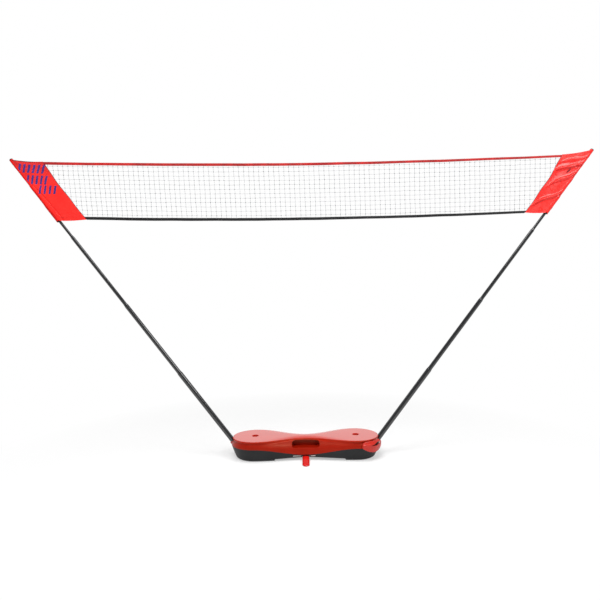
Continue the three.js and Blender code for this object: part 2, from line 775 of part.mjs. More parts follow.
function catchFlap() {
  const middle = (catchBottomZ + catchTopZ) / 2;
  const ring = turned([
    [catchInnerRadius, catchBottomZ],
    [catchInnerRadius + catchThickness, catchBottomZ],
    [catchInnerRadius + catchFlare / 2 + catchThickness + catchBelly, middle],
    [catchInnerRadius + catchFlare + catchThickness, catchTopZ],
    [catchInnerRadius + catchFlare, catchTopZ],
    [catchInnerRadius + catchFlare / 2 + catchBelly / 2, middle],
  ], ringSides).rotateX(Math.PI / 2).translate(lobeOffset, 0, 0);
  const oval = new THREE.CylinderGeometry(1, 1, 1, ovalSides)
    .scale(catchHalfWidth, 2 * catchInnerRadius, catchHalfHeight)
    .translate(0, catchInnerRadius, catchMiddleZ)
    .applyMatrix4(turnedToCatch);
  const plate = body(ring).intersect(body(oval));
  const web = catchBlock(
    -catchKnuckle / 2,
    catchKnuckle / 2,
    catchPivot,
    catchInnerRadius + catchThickness / 2,
    catchPivotZ - catchWeb / 2,
    catchPivotZ + catchWeb / 2,
  );
  const knuckle = catchRod(-catchKnuckle / 2, catchKnuckle / 2, catchKnuckleRadius);
  return join([plate, web, knuckle]).subtract(catchRod(-catchKnuckle, catchKnuckle, catchPinBore));
}

function catchBracket() {
  const inner = catchKnuckle / 2 + catchEarGap;
  const outer = inner + catchEar;
  const [low, high] = [catchPivotZ - bracketHeight, catchPivotZ + catchKnuckleRadius];
  const plate = filled(lowerLevels, bracketThickness)
    .intersect(catchBlock(-outer, outer, 0, 2 * seamRadius, low, high));
  const window = catchRod(-inner, inner, catchKnuckleRadius + catchEarGap);
  const ears = [-1, 1].flatMap((side) => {
    const [near, far] = side > 0 ? [inner, outer] : [-outer, -inner];
    const web = catchBlock(near, far, 0, catchPivot, catchPivotZ - catchWeb / 2, catchPivotZ + catchWeb / 2);
    return [catchRod(near, far, catchKnuckleRadius), web];
  });
  return cut(join([plate.subtract(window), ...ears]), [
    catchRod(-2 * outer, 2 * outer, catchPinBore),
    filled(lowerLevels, seatGap),
  ]);
}

function catchPin() {
  const half = catchKnuckle / 2 + catchEarGap + catchEar;
  const end = (along) => atCatch(catchPivot, along, catchPivotZ);
  return rod(end(-half), end(half), catchPinRadius);
}

function strikeBar() {
  const out = seamRadius - shoulderInset + strikeOut;
  const half = strikeLength / 2;
  const bars = [rod(atCatch(out, -half, strikeZ), atCatch(out, half, strikeZ), strikeRadius)];
  for (const side of [-1, 1]) {
    const along = side * (half - strikeRadius);
    bars.push(rod(atCatch(seamRadius / 2, along, strikeZ), atCatch(out, along, strikeZ), strikeRadius));
  }
  const within = seamRadius - underLipInset - cutOverrun;
  const outer = catchBlock(-half, half, within, 2 * seamRadius, 0, caseHeight);
  return join(bars.map(body)).subtract(filled(upperLevels, seatGap)).intersect(outer);
}

// Assembly

const net = new THREE.Group();

function add(name, geometry, look, parent = net) {
  const mesh = new THREE.Mesh(geometry, looks[look]);
  mesh.name = name;
  parent.add(mesh);
  return mesh;
}

function addPair(name, geometry, look) {
  add(`${name}_right`, geometry, look);
  add(`${name}_left`, mirrored(geometry), look);
}

add('upper_shell', shape(upperShell()), 'redPlastic');
add('lower_shell', shape(lowerShell()), 'blackPlastic');
add('cross_foot', footBar(), 'redPlastic');
add('foot_pad_front', footPad(-1), 'rubber');
add('foot_pad_rear', footPad(1), 'rubber');
addPair('base_pad', basePad(), 'rubber');
addPair('hinge_leaf_lower', shape(lowerLeaf()), 'blackPlastic');
addPair('hinge_leaf_upper', shape(upperLeaf()), 'redPlastic');
addPair('hinge_pin', rod(
  vec(lobeOffset - hingeWidth / 2, hingeY, seamSideZ),
  vec(lobeOffset + hingeWidth / 2, hingeY, seamSideZ),
  hingePinRadius,
), 'steel');
for (const [place, side] of [['inner', -1], ['outer', 1]]) {
  addPair(`lower_leaf_screw_${place}`, shape(hingeScrew(lowerLevels, side, seamSideZ - screwRow)), 'steel');
  addPair(`upper_leaf_screw_${place}`, shape(hingeScrew(upperLevels, side, seamSideZ + screwRow)), 'steel');
}
add('catch_flap', shape(catchFlap()), 'redPlastic');
add('catch_bracket', shape(catchBracket()), 'blackPlastic');
add('catch_pin', catchPin(), 'steel');
add('strike_bar', shape(strikeBar()), 'steel');

for (const [name, side] of [['left', -1], ['right', 1]]) {
  const pole = new THREE.Group();
  pole.position.set(side * poleFootX, 0, poleFootZ);
  pole.rotation.y = side * poleLean;
  const stand = new THREE.Group();
  stand.rotation.x = Math.PI / 2;
  pole.add(stand);
  net.add(pole);
  add(`pole_socket_${name}`, socket(), 'redPlastic', stand);
  for (let section = 0; section <= topSection; section++) {
    const foot = section * sectionExposed - tubeOverlap;
    add(`tube_${section + 1}_${name}`, tubeSection(section), 'blackMetal', stand).position.y = foot;
    add(`tube_plug_${section + 1}_${name}`, slider(section), 'blackPlastic', stand).position.y = foot;
  }
  add(`tip_cap_${name}`, tipCap(), 'blackPlastic', stand).position.y = poleLength;
}

addPair('end_panel', shape(endPanel()), 'redCloth');
addPair('edge_binding', edgeBinding(), 'blackTape');
addPair('net', netHalf(), 'netTwine');
addPair('top_tape', topTape(), 'darkRedTape');
addPair('bottom_tape', bottomTape(), 'blackTape');

export default net;
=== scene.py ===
import json
import math
import random

import bmesh
import bpy
import numpy as np
from mathutils import Matrix, Vector, noise

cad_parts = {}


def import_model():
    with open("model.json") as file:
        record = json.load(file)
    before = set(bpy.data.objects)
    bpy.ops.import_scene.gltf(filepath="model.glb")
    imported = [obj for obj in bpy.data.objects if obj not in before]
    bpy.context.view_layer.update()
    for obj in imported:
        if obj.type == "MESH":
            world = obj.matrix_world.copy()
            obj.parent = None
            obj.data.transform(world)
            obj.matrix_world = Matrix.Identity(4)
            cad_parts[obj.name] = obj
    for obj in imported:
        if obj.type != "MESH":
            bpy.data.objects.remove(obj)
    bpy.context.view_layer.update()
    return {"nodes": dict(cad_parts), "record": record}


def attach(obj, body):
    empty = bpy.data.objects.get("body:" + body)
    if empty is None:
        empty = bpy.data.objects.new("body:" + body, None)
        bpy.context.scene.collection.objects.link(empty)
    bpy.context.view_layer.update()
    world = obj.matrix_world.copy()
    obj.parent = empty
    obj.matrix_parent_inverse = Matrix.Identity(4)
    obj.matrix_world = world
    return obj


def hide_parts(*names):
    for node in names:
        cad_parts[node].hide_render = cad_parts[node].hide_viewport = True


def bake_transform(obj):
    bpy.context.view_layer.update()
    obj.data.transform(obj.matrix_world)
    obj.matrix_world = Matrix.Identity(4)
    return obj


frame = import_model()
MM = 0.001
SIDES = {"left": -1, "right": 1}
noise.seed_set(7)             # without a seed, vector noise differs from run to run

# Poles
POLE_LEAN = math.radians(37.45)
POLE_FOOT = (376, 82.5)
TUBE_DIAMETER = 26
TUBE_WALL = 1.2
TUBE_PLAY = 0.8
TUBE_SIDES = 48
SECTION_EXPOSED = 448
TOP_EXPOSED = 504
TUBE_OVERLAP = 60
TOP_SECTION = 3
NECK_LENGTH = 9
NECK_STEPS = 6
TIP_STEPS = 8
SEAT_GAP = 0.3
POLE_LENGTH = TOP_SECTION * SECTION_EXPOSED + TOP_EXPOSED
SOCKET_WALL = 3
SOCKET_PLAY = 0.4
SOCKET_DEPTH = 66

# Panels, net and tapes, which the photograph shows a little different on the left and the right
PANELS = {
    "left": {"top width": 162, "top drop": 11, "bottom width": 140, "bottom rise": 5.5, "draw": 6},
    "right": {"top width": 151, "top drop": 19.6, "bottom width": 104, "bottom rise": 4, "draw": 9},
}
POCKET_LENGTH = 400
POCKET_PLAY = 1.2
TOP_DRAW = 4                  # how far the top edge of a panel is drawn in
CLOTH = 1.0
PIPING = 1.4
# Each tape: height of its middle line at the middle of the net, how far it rises to the panel,
# the power of that rise, and its own height at the middle and at the panel.
TAPES = {
    "left": {"top": (1504, 27.5, 1.5, 14, 15), "bottom": (1222, 21, 2.0, 15, 15.5)},
    "right": {"top": (1504, 19.5, 2.0, 14, 12), "bottom": (1222, 16, 2.2, 15, 12.5)},
}
MESH_WIDTH = 26
MESH_ROWS = 12
ROW_MARGIN = 12               # from a tape to the nearest row of knots
TWINE = 0.72                  # radius
KNOT = 2.1
NET_WAVE = 1.6
HALVES_APART = 0.15           # from each half of a tape to the middle
TAPE_WAVE = 1.6

# Camera, fitted to the pole steps and tips, the round dimples and the cross foot
CAMERA_PLACE = (-0.0094, -2.42, 0.8020)
CAMERA_YAW = math.radians(0.18)
CAMERA_ROLL = math.radians(-0.925)
CAMERA_LENS = 28.08

# Light: how strong it is all round, and each lamp's place, target, size, power and whether reflections show it
WORLD_LIGHT = 0.28
LAMPS = {
    "key": ((-1.0, -2.0, 3.9), (0, 0, 0.6), 2.2, 118, False),
    "top": ((0.1, -0.5, 3.4), (0, 0, 0.1), 1.6, 30, True),
    "right": ((1.9, -1.5, 2.9), (0.3, 0, 0.4), 1.5, 40, True),
}
WHITE = (1, 1, 1, 1)
FLOOR_REACH = 9000

POLE_WAY = Vector((math.sin(POLE_LEAN), 0, math.cos(POLE_LEAN)))


def pole_point(distance, side=1):
    point = Vector((POLE_FOOT[0], 0, POLE_FOOT[1])) + POLE_WAY * distance
    return Vector((side * point.x, point.y, point.z))


def smoothstep(value):
    value = min(1, max(0, value))
    return value * value * (3 - 2 * value)


def waver(*place):
    """Smooth noise at a place, from about -1 to 1."""
    return noise.noise(Vector(place))


# Mesh helpers. A mesh is a pair: its points, in millimetres, and its faces.

def angles(count):
    """Directions all round, in radians."""
    return [2 * math.pi * k / count for k in range(count)]


def bands(rings, sides, start=0):
    """Faces that join closed rings of points in order; start is the first point's number."""
    faces = []
    for i in range(rings - 1):
        for k in range(sides):
            a, b = start + i * sides + k, start + i * sides + (k + 1) % sides
            faces.append((a, a + sides, b + sides, b))
    return faces


def joined(rings):
    """A mesh of rings of points, joined in order and closed at both ends."""
    sides = len(rings[0])
    points = [p for ring in rings for p in ring]
    ends = [tuple(range(sides)), tuple(reversed(range(len(points) - sides, len(points))))]
    return points, bands(len(rings), sides) + ends


def mesh_object(name, points, faces):
    mesh = bpy.data.meshes.new(name)
    mesh.from_pydata([Vector(p) * MM for p in points], [], faces)
    obj = bpy.data.objects.new(name, mesh)
    bpy.context.scene.collection.objects.link(obj)
    return obj


def dress(obj, material, sharp):
    """Gives a piece one material and smooth shading, apart from edges above an angle in degrees."""
    mesh = obj.data
    mesh.materials.clear()
    mesh.materials.append(material)
    mesh.polygons.foreach_set("use_smooth", [True] * len(mesh.polygons))
    mesh.set_sharp_from_angle(angle=math.radians(sharp))


def make(name, mesh, material, sharp=40):
    obj = mesh_object(name, *mesh)
    obj.data.validate()
    dress(obj, material, sharp)
    return obj


def settle(obj, body, *nodes, slot):
    """Puts a piece on its CAD body, in the place of the CAD nodes that it stands for."""
    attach(obj, body)
    if nodes:
        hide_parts(*nodes)
    return obj


def turn_outwards(obj):
    work = bmesh.new()
    work.from_mesh(obj.data)
    bmesh.ops.recalc_face_normals(work, faces=work.faces)
    work.to_mesh(obj.data)
    work.free()


def piece(name, mesh, material, body, *nodes, slot, sharp=40, turned=False):
    """Makes a piece and settles it; turned is for a mesh whose faces may look inwards."""
    obj = make(name, mesh, material, sharp)
    if turned:
        turn_outwards(obj)
    return settle(obj, body, *nodes, slot=slot)


def tube_mesh(path, radius, sides, taper=None):
    """A closed round tube along a path."""
    path = [Vector(p) for p in path]
    last = len(path) - 1
    rings = []
    for i, place in enumerate(path):
        way = (path[min(i + 1, last)] - path[max(i - 1, 0)]).normalized()
        across = way.cross(Vector((0, 1, 0)))
        if across.length < 0.1:
            across = way.cross(Vector((1, 0, 0)))
        across.normalize()
        over = across.cross(way)
        size = radius * (taper(i / last) if taper else 1)
        rings.append([place + across * size * math.cos(a) + over * size * math.sin(a) for a in angles(sides)])
    return joined(rings)


def lathe(profile, sides, place):
    """A mesh of (radius, height) pairs turned round Z; a radius of 0 closes it on the axis."""
    points, faces, rings = [], [], []
    for radius, height in profile:
        if radius < 1e-6:
            rings.append([len(points)] * sides)
            points.append(Vector((0, 0, height)))
        else:
            rings.append(list(range(len(points), len(points) + sides)))
            points += [Vector((radius * math.cos(a), radius * math.sin(a), height)) for a in angles(sides)]
    pairs = list(zip(rings, rings[1:]))
    if profile[0][0] > 0:
        pairs.append((rings[-1], rings[0]))
    for low, high in pairs:
        for k in range(sides):
            n = (k + 1) % sides
            corners = [low[k], low[n], high[n], high[k]]
            face = [c for i, c in enumerate(corners) if c not in corners[:i]]
            if len(face) > 2:
                faces.append(face)
    return [place @ p for p in points], faces


def sheet_mesh(columns, rows, thickness, place, away=lambda point: Vector((0, 1, 0))):
    """A thin closed sheet: place(u, v) is its middle, and it is thick along away(point), which is Y if not given."""
    points, faces = [], []
    for side in (-0.5, 0.5):
        for j in range(rows + 1):
            for i in range(columns + 1):
                point = place(i / columns, j / rows)
                points.append(point + away(point) * side * thickness)
    width = columns + 1
    back = width * (rows + 1)
    for j in range(rows):
        for i in range(columns):
            a = j * width + i
            faces.append((a, a + 1, a + 1 + width, a + width))
            faces.append((back + a, back + a + width, back + a + 1 + width, back + a + 1))
        end = j * width + columns
        faces.append((j * width, (j + 1) * width, back + (j + 1) * width, back + j * width))
        faces.append((end, back + end, back + end + width, end + width))
    top = rows * width
    for i in range(columns):
        faces.append((i, back + i, back + i + 1, i + 1))
        faces.append((top + i, top + i + 1, back + top + i + 1, back + top + i))
    return points, faces


def merged(parts):
    """Several meshes as one."""
    points, faces = [], []
    for part_points, part_faces in parts:
        base = len(points)
        points.extend(part_points)
        faces.extend([tuple(base + i for i in face) for face in part_faces])
    return points, faces


def pole_matrix(side, distance=0):
    """Z runs up the pole, from a distance above its foot."""
    foot = pole_point(distance, side)
    turn = Matrix.Rotation(side * POLE_LEAN, 4, "Y")
    return Matrix.Translation(foot) @ turn


# Materials

def add_node(tree, kind, links=None, **values):
    """A shader node with its settings and input values, and with its inputs linked to sources."""
    made = tree.nodes.new(kind)
    for key, value in values.items():
        if hasattr(made, key):
            setattr(made, key, value)
        else:
            made.inputs[key.replace("_", " ")].default_value = value
    for key, source in (links or {}).items():
        tree.links.new(source, made.inputs[key])
    return made


def calculated(tree, operation, first, second):
    return add_node(tree, "ShaderNodeMath", {0: first, 1: second}, operation=operation).outputs[0]


class Surface:
    """A Principled material with short helpers for its nodes."""

    def __init__(self, name, color, roughness, metallic=0.0, **extra):
        self.material = bpy.data.materials.new(name)
        self.material.use_nodes = True
        self.tree = self.material.node_tree
        self.shader = self.tree.nodes["Principled BSDF"]
        for key, value in {"Base_Color": (*color, 1), "Roughness": roughness, "Metallic": metallic, **extra}.items():
            self.shader.inputs[key.replace("_", " ")].default_value = value
        self.coords = self.node("ShaderNodeTexCoord").outputs["Object"]

    def node(self, kind, links=None, **values):
        return add_node(self.tree, kind, links, **values)

    def turned(self, turn, stretch=(1, 1, 1)):
        """The object's coordinates, turned about Y and stretched."""
        placed = self.node("ShaderNodeMapping", {"Vector": self.coords}, Scale=stretch, Rotation=(0, turn, 0))
        return placed.outputs["Vector"]

    def noise(self, scale, detail, turn=0.0, stretch=(1, 1, 1)):
        return self.node("ShaderNodeTexNoise", {"Vector": self.turned(turn, stretch)},
                         Scale=scale, Detail=detail).outputs["Fac"]

    def ramp(self, source, low, high, low_value=0, high_value=1):
        return self.node("ShaderNodeMapRange", {"Value": source}, From_Min=low, From_Max=high,
                         To_Min=low_value, To_Max=high_value).outputs["Result"]

    def vary_color(self, source, low, high):
        mix = self.node("ShaderNodeMix", {"Factor": source}, data_type="RGBA", A=(*low, 1), B=(*high, 1))
        self.tree.links.new(mix.outputs["Result"], self.shader.inputs["Base Color"])
        return mix

    def vary_roughness(self, source, middle, less, more):
        rough = self.ramp(source, 0.3, 0.7, middle - less, middle + more)
        self.tree.links.new(rough, self.shader.inputs["Roughness"])

    def bump(self, source, distance, strength=1.0):
        links = {"Height": source}
        if self.shader.inputs["Normal"].is_linked:
            links["Normal"] = self.shader.inputs["Normal"].links[0].from_socket
        made = self.node("ShaderNodeBump", links, Strength=strength, Distance=distance)
        self.tree.links.new(made.outputs["Normal"], self.shader.inputs["Normal"])


def moulded(name, low, high, roughness, grain, **extra):
    """Moulded plastic: a fine grain, faint colour clouds and uneven gloss."""
    made = Surface(name, high, roughness, **extra)
    made.vary_color(made.ramp(made.noise(9, 5), 0.35, 0.65), low, high)
    made.vary_roughness(made.noise(22, 4), roughness, 0.02, 0.03)
    made.bump(made.noise(900, 3), grain)
    return made.material


def cloth(name, low, high, roughness, pitch, lean=0.0, relief=0.18, shade=None, **extra):
    """Woven cloth: two crossed sets of fine threads over soft colour clouds.

    shade is the height at which another colour begins, the height at which it is full, and that colour.
    """
    made = Surface(name, high, roughness, **extra)
    clouds = made.vary_color(made.ramp(made.noise(14, 5), 0.35, 0.7), low, high)
    if shade:
        parts = made.node("ShaderNodeSeparateXYZ", {"Vector": made.coords})
        start, full, color = shade
        mix = made.vary_color(made.ramp(parts.outputs["Z"], start, full), high, color)
        made.tree.links.new(clouds.outputs["Result"], mix.inputs["A"])
    made.vary_roughness(made.noise(60, 4), roughness, 0.06, 0.06)
    for turn in (lean, lean + math.pi / 2):
        wave = made.node("ShaderNodeTexWave", {"Vector": made.turned(turn)},
                         Scale=1 / (math.pi * pitch), Distortion=0.4, Detail=1.0)
        made.bump(wave.outputs["Fac"], pitch * relief, 0.5)
    return made.material


def metal(name, color, roughness, metallic, turn=0.0, **extra):
    """Drawn or painted metal with faint streaks along it."""
    made = Surface(name, color, roughness, metallic, **extra)
    streaks = made.noise(60, 5, turn, (1, 1, 0.02))
    made.vary_roughness(streaks, roughness, 0.05, 0.08)
    made.vary_color(made.ramp(made.noise(12, 6), 0.4, 0.7), color, tuple(c * 1.35 for c in color))
    made.bump(streaks, 0.00004, 0.4)
    return made.material


FINE = 0.00001                # depth of a fine grain, in metres
# The walls' red, kept darker as painted shade beneath the lip.
red_plastic = moulded("red_plastic", (0.27, 0.008, 0.0025), (0.315, 0.010, 0.004), 0.3, FINE,
                      IOR=1.4, Specular_Tint=(1, 0.6, 0.35, 1))
# A lighter copy of the same red: painted light on the lip band, also used inside the dimples.
red_lip_painted_light = moulded("red_lip_painted_light", (0.36, 0.009, 0.002), (0.42, 0.012, 0.003), 0.3, FINE,
                  IOR=1.4, Specular_Tint=(1, 0.6, 0.35, 1))
# A brighter copy of the red: painted light on the catch flap, which faces the light, on its rim and on the pole
# collars, and a painted highlight on the dimple rims.
red_painted_light = moulded("red_painted_light", (0.48, 0.012, 0.004), (0.53, 0.015, 0.006), 0.28, FINE, IOR=1.45)
# Copies of the red for the recess: a lighter one, painted light on its shaded back wall, and a darker one, painted
# shade on its floor.
red_recess_painted_light = moulded("red_recess_painted_light", (0.56, 0.012, 0.001), (0.62, 0.014, 0.002), 0.7, FINE, Specular_IOR_Level=0.0)
red_recess_floor_painted_shade = moulded("red_recess_floor_painted_shade", (0.21, 0.006, 0.001), (0.24, 0.007, 0.002), 0.7, FINE, Specular_IOR_Level=0.0)
red_gloss = moulded("red_gloss", (0.56, 0.014, 0.004), (0.60, 0.018, 0.006), 0.14, 0.0,
                    IOR=1.6, Coat_Weight=0.45, Coat_Roughness=0.08, Specular_Tint=(1, 0.86, 0.72, 1))
foot_plastic = moulded("foot_plastic", (0.58, 0.007, 0.005), (0.66, 0.010, 0.007), 0.2, FINE, IOR=1.5)
black_plastic = moulded("black_plastic", (0.012, 0.0125, 0.0135), (0.017, 0.0175, 0.0185), 0.5, 2 * FINE, IOR=1.3)
black_metal = {name: metal(f"black_metal_{name}", (0.0070, 0.0075, 0.0085), 0.15, 0.0, -side * POLE_LEAN, IOR=1.75)
               for name, side in SIDES.items()}
pale_plastic = moulded("pale_plastic", (0.55, 0.53, 0.50), (0.66, 0.64, 0.62), 0.4, 3 * FINE)
steel = metal("steel", (0.6, 0.61, 0.62), 0.25, 1.0)
rubber = moulded("rubber", (0.012,) * 3, (0.02,) * 3, 0.85, 8 * FINE)
cap_plastic = moulded("cap_plastic", (0.012,) * 3, (0.02,) * 3, 0.4, 3 * FINE)
red_cloth = {
    "left": cloth("red_cloth_left", (0.84, 0.012, 0.008), (0.92, 0.019, 0.012), 0.65, 0.0006, -POLE_LEAN,
                  shade=(1.40, 1.56, (0.50, 0.016, 0.016)), Sheen_Weight=0.05),
    "right": cloth("red_cloth_right", (0.84, 0.014, 0.010), (0.92, 0.022, 0.015), 0.3, 0.0006, POLE_LEAN,
                   relief=0.02, Coat_Weight=0.12, Coat_Roughness=0.2),
}
pocket_cloth = {"left": cloth("pocket_cloth_left", (0.62, 0.010, 0.008), (0.80, 0.014, 0.010), 0.75, 0.0006,
                              -POLE_LEAN, IOR=1.25),
                "right": red_cloth["right"]}
dark_red_tape = cloth("dark_red_tape", (0.30, 0.010, 0.010), (0.52, 0.016, 0.014), 0.75, 0.0009)
black_tape = cloth("black_tape", (0.005, 0.005, 0.006), (0.012, 0.012, 0.013), 0.75, 0.0009)
# A dark red cloth that paints a small fold shadow on the right panel.
fold_shadow_cloth = cloth("fold_shadow_cloth", (0.18, 0.004, 0.006), (0.24, 0.006, 0.008), 0.7, 0.0007)
piping_cloth = cloth("piping_cloth", (0.10, 0.006, 0.008), (0.18, 0.010, 0.012), 0.7, 0.0007)
blue_print = cloth("blue_print", (0.050, 0.018, 0.15), (0.085, 0.030, 0.22), 0.6, 0.0006)
twine = cloth("twine", (0.30, 0.31, 0.32), (0.42, 0.43, 0.45), 0.8, 0.0004)
knot_twine = cloth("knot_twine", (0.10, 0.105, 0.11), (0.20, 0.205, 0.21), 0.85, 0.0004)


# Camera, light and floor

def camera():
    data = bpy.data.cameras.new("camera")
    data.lens = CAMERA_LENS
    data.clip_end = 100
    obj = bpy.data.objects.new("camera", data)
    bpy.context.scene.collection.objects.link(obj)
    level = Matrix.Rotation(CAMERA_YAW, 4, "Z") @ Matrix.Rotation(math.pi / 2, 4, "X")
    obj.matrix_world = Matrix.Translation(CAMERA_PLACE) @ level @ Matrix.Rotation(CAMERA_ROLL, 4, "Z")
    bpy.context.scene.camera = obj
    bpy.context.scene.view_settings.view_transform = "Standard"


def area_light(name, place, target, size, power, glossy):
    data = bpy.data.lights.new(name, "AREA")
    data.shape = "DISK"
    data.size = size
    data.energy = power
    obj = bpy.data.objects.new(name, data)
    obj.location = place
    obj.rotation_euler = (Vector(target) - Vector(place)).to_track_quat("-Z", "Y").to_euler()
    obj.visible_glossy = glossy
    bpy.context.scene.collection.objects.link(obj)


def world():
    """Dim white light all round. The camera sees a full white there, and reflections see one low behind the set."""
    made = bpy.data.worlds.new("studio")
    made.use_nodes = True
    tree = made.node_tree
    light = tree.nodes["Background"]
    light.inputs["Color"].default_value = WHITE
    light.inputs["Strength"].default_value = WORLD_LIGHT
    white = add_node(tree, "ShaderNodeBackground", Color=WHITE, Strength=1.0)
    rays = add_node(tree, "ShaderNodeLightPath").outputs
    way = add_node(tree, "ShaderNodeTexCoord").outputs["Generated"]
    parts = add_node(tree, "ShaderNodeSeparateXYZ", {0: way}).outputs
    behind = add_node(tree, "ShaderNodeMapRange", {"Value": parts["Y"]}, From_Min=-0.35, From_Max=0.15)
    low = add_node(tree, "ShaderNodeMapRange", {"Value": parts["Z"]}, From_Min=0.8, From_Max=0.42)
    backdrop = calculated(tree, "MULTIPLY", behind.outputs["Result"], low.outputs["Result"])
    bounced = calculated(tree, "ADD", rays["Is Glossy Ray"], rays["Is Transmission Ray"])
    shown = calculated(tree, "MULTIPLY", bounced, backdrop)
    either = calculated(tree, "MAXIMUM", rays["Is Camera Ray"], shown)
    mix = add_node(tree, "ShaderNodeMixShader", {0: either, 1: light.outputs[0], 2: white.outputs[0]})
    tree.links.new(mix.outputs[0], tree.nodes["World Output"].inputs["Surface"])
    bpy.context.scene.world = made


def floor():
    """A pale round floor that fades into the white of the background."""
    rings, sides = 24, 64
    points = [Vector((0, 0, 0))]
    for i in range(1, rings + 1):
        points += [Vector((math.cos(a), math.sin(a), 0)) * FLOOR_REACH * (i / rings) ** 2 for a in angles(sides)]
    middle = [(0, 1 + k, 1 + (k + 1) % sides) for k in range(sides)]
    made = Surface("floor", (0.93,) * 3, 0.9, Specular_IOR_Level=0.1)
    made.vary_color(made.ramp(made.noise(3, 3), 0.3, 0.7), (0.925,) * 3, (0.935,) * 3)
    away = made.node("ShaderNodeVectorMath", {0: made.coords}, operation="LENGTH")
    rays = made.node("ShaderNodeLightPath").outputs
    seen = calculated(made.tree, "MAXIMUM", rays["Is Camera Ray"], rays["Is Glossy Ray"])
    fade = calculated(made.tree, "MULTIPLY", made.ramp(away.outputs["Value"], 0.45, 1.7, 0.45, 1), seen)
    glow = made.node("ShaderNodeEmission", Strength=1.0)
    mix = made.node("ShaderNodeMixShader", {0: fade, 1: made.shader.outputs[0], 2: glow.outputs[0]})
    made.tree.links.new(mix.outputs[0], made.tree.nodes["Material Output"].inputs["Surface"])
    make("floor", (points, middle + bands(rings, sides, 1)), made.material)


# Poles

def tube_radius(section):
    return TUBE_DIAMETER / 2 - section * (TUBE_WALL + TUBE_PLAY)


def tube_profile(section):
    """Radius and height round a tube's wall; all but the top section end in a neck and a wider collar."""
    outer = tube_radius(section)
    inner = outer - TUBE_WALL
    if section == TOP_SECTION:
        length = TOP_EXPOSED + TUBE_OVERLAP
        return [(outer, 0), (outer, length), (inner, length), (inner, 0)]
    length = SECTION_EXPOSED + TUBE_OVERLAP
    neck = length - NECK_LENGTH
    mouth = tube_radius(section + 1) + SEAT_GAP
    collar = mouth + TUBE_WALL / 2
    profile = [(outer, 0), (outer, neck - 2), (outer, neck)]
    for i in range(1, NECK_STEPS + 1):
        s = i / NECK_STEPS
        profile.append((outer + (collar - outer) * smoothstep(s), neck + 4 * s))
    profile += [(collar, length - 0.4), (collar - 0.2, length), (mouth, length)]
    return profile + [(mouth, neck + 4), (inner, neck - 4), (inner, 0)]


def tip_profile():
    """The cap at a pole's tip: a spigot in the tube below a rounded head as wide as the pocket."""
    head = tube_radius(TOP_SECTION) + POCKET_PLAY + CLOTH
    spigot = tube_radius(TOP_SECTION) - TUBE_WALL - SEAT_GAP
    profile = [(0, -22), (spigot - 1, -22), (spigot, -20), (spigot, SEAT_GAP), (head - 0.6, SEAT_GAP)]
    for i in range(TIP_STEPS):
        a = math.pi / 2 * i / TIP_STEPS
        profile.append((head * math.cos(a) ** 0.8, 2 + 6 * math.sin(a)))
    return profile + [(0, 8)]


def poles():
    for name, side in SIDES.items():
        for section in range(TOP_SECTION + 1):
            label = f"{section + 1}_{name}"
            place = pole_matrix(side, section * SECTION_EXPOSED - TUBE_OVERLAP)
            body = f"{name}_pole_{section + 1}" if section else "case_base"
            piece(f"pole_{label}", lathe(tube_profile(section), TUBE_SIDES, place), black_metal[name],
                  body, f"tube_{label}", slot="black_metal")
            frame["nodes"][f"tube_plug_{label}"].data.materials[0] = cap_plastic
        piece(f"pole_tip_{name}", lathe(tip_profile(), 40, pole_matrix(side, POLE_LENGTH)), cap_plastic,
              f"{name}_pole_4", f"tip_cap_{name}", slot="black_plastic")


# End panels

OUTER_TOP = pole_point(POLE_LENGTH)
OUTER_BOTTOM = pole_point(POLE_LENGTH - POCKET_LENGTH)
INNER_TOP = {name: OUTER_TOP - Vector((size["top width"], 0, size["top drop"]))
             for name, size in PANELS.items()}
INNER_BOTTOM = {name: OUTER_BOTTOM + Vector((-size["bottom width"], 0, size["bottom rise"]))
                for name, size in PANELS.items()}


def inner_edge(name, v):
    """A point of a panel's inner edge, which is drawn towards the pole between its corners."""
    held = min(1, max(0, v))
    draw = PANELS[name]["draw"] * math.sin(math.pi * held) * (1 + 0.35 * math.sin(4 * math.pi * held))
    return INNER_BOTTOM[name].lerp(INNER_TOP[name], v) + Vector((draw, 0, 0))


# Each fold is a soft ridge: where it starts and ends on the panel, how much it bows, its height and its width.
FOLDS = {
    "right": [((-0.02, 0.725), (1.05, 0.800), 0.012, 9.0, 0.024), ((0.22, 0.480), (1.05, 0.650), 0.018, 9.0, 0.026),
              ((0.04, 0.140), (1.05, 0.345), 0.022, 9.5, 0.024), ((0.20, 0.890), (1.05, 0.900), 0.01, 4.0, 0.016),
              ((0.10, 0.830), (0.80, 0.845), 0.01, -3.0, 0.018), ((0.50, 0.520), (1.05, 0.575), 0.0, 3.0, 0.014),
              ((0.78, 0.765), (1.04, 0.770), 0.0, 4.0, 0.008), ((0.80, 0.730), (1.04, 0.733), 0.0, 3.5, 0.007)],
    "left": [((0.25, 0.055), (0.90, 0.085), 0.015, 2.2, 0.018), ((0.20, 0.150), (0.75, 0.200), -0.02, 1.2, 0.04),
             ((0.10, 0.90), (0.90, 0.97), 0.02, 1.8, 0.03)],
}
HEMS = ((0.0, 1.5), (1.0, 1.7))           # place on the panel and radius
# Rows of printed bars: top, bottom, where they start and end across the panel, and how many there are.
BAR_ROWS = [(0.950, 0.795, 0.09, 0.99, 6), (0.755, 0.600, 0.26, 1.02, 5), (0.583, 0.440, 0.20, 0.88, 4)]
BAR_WIDTH = 0.072
BAR_LEAN = 0.28


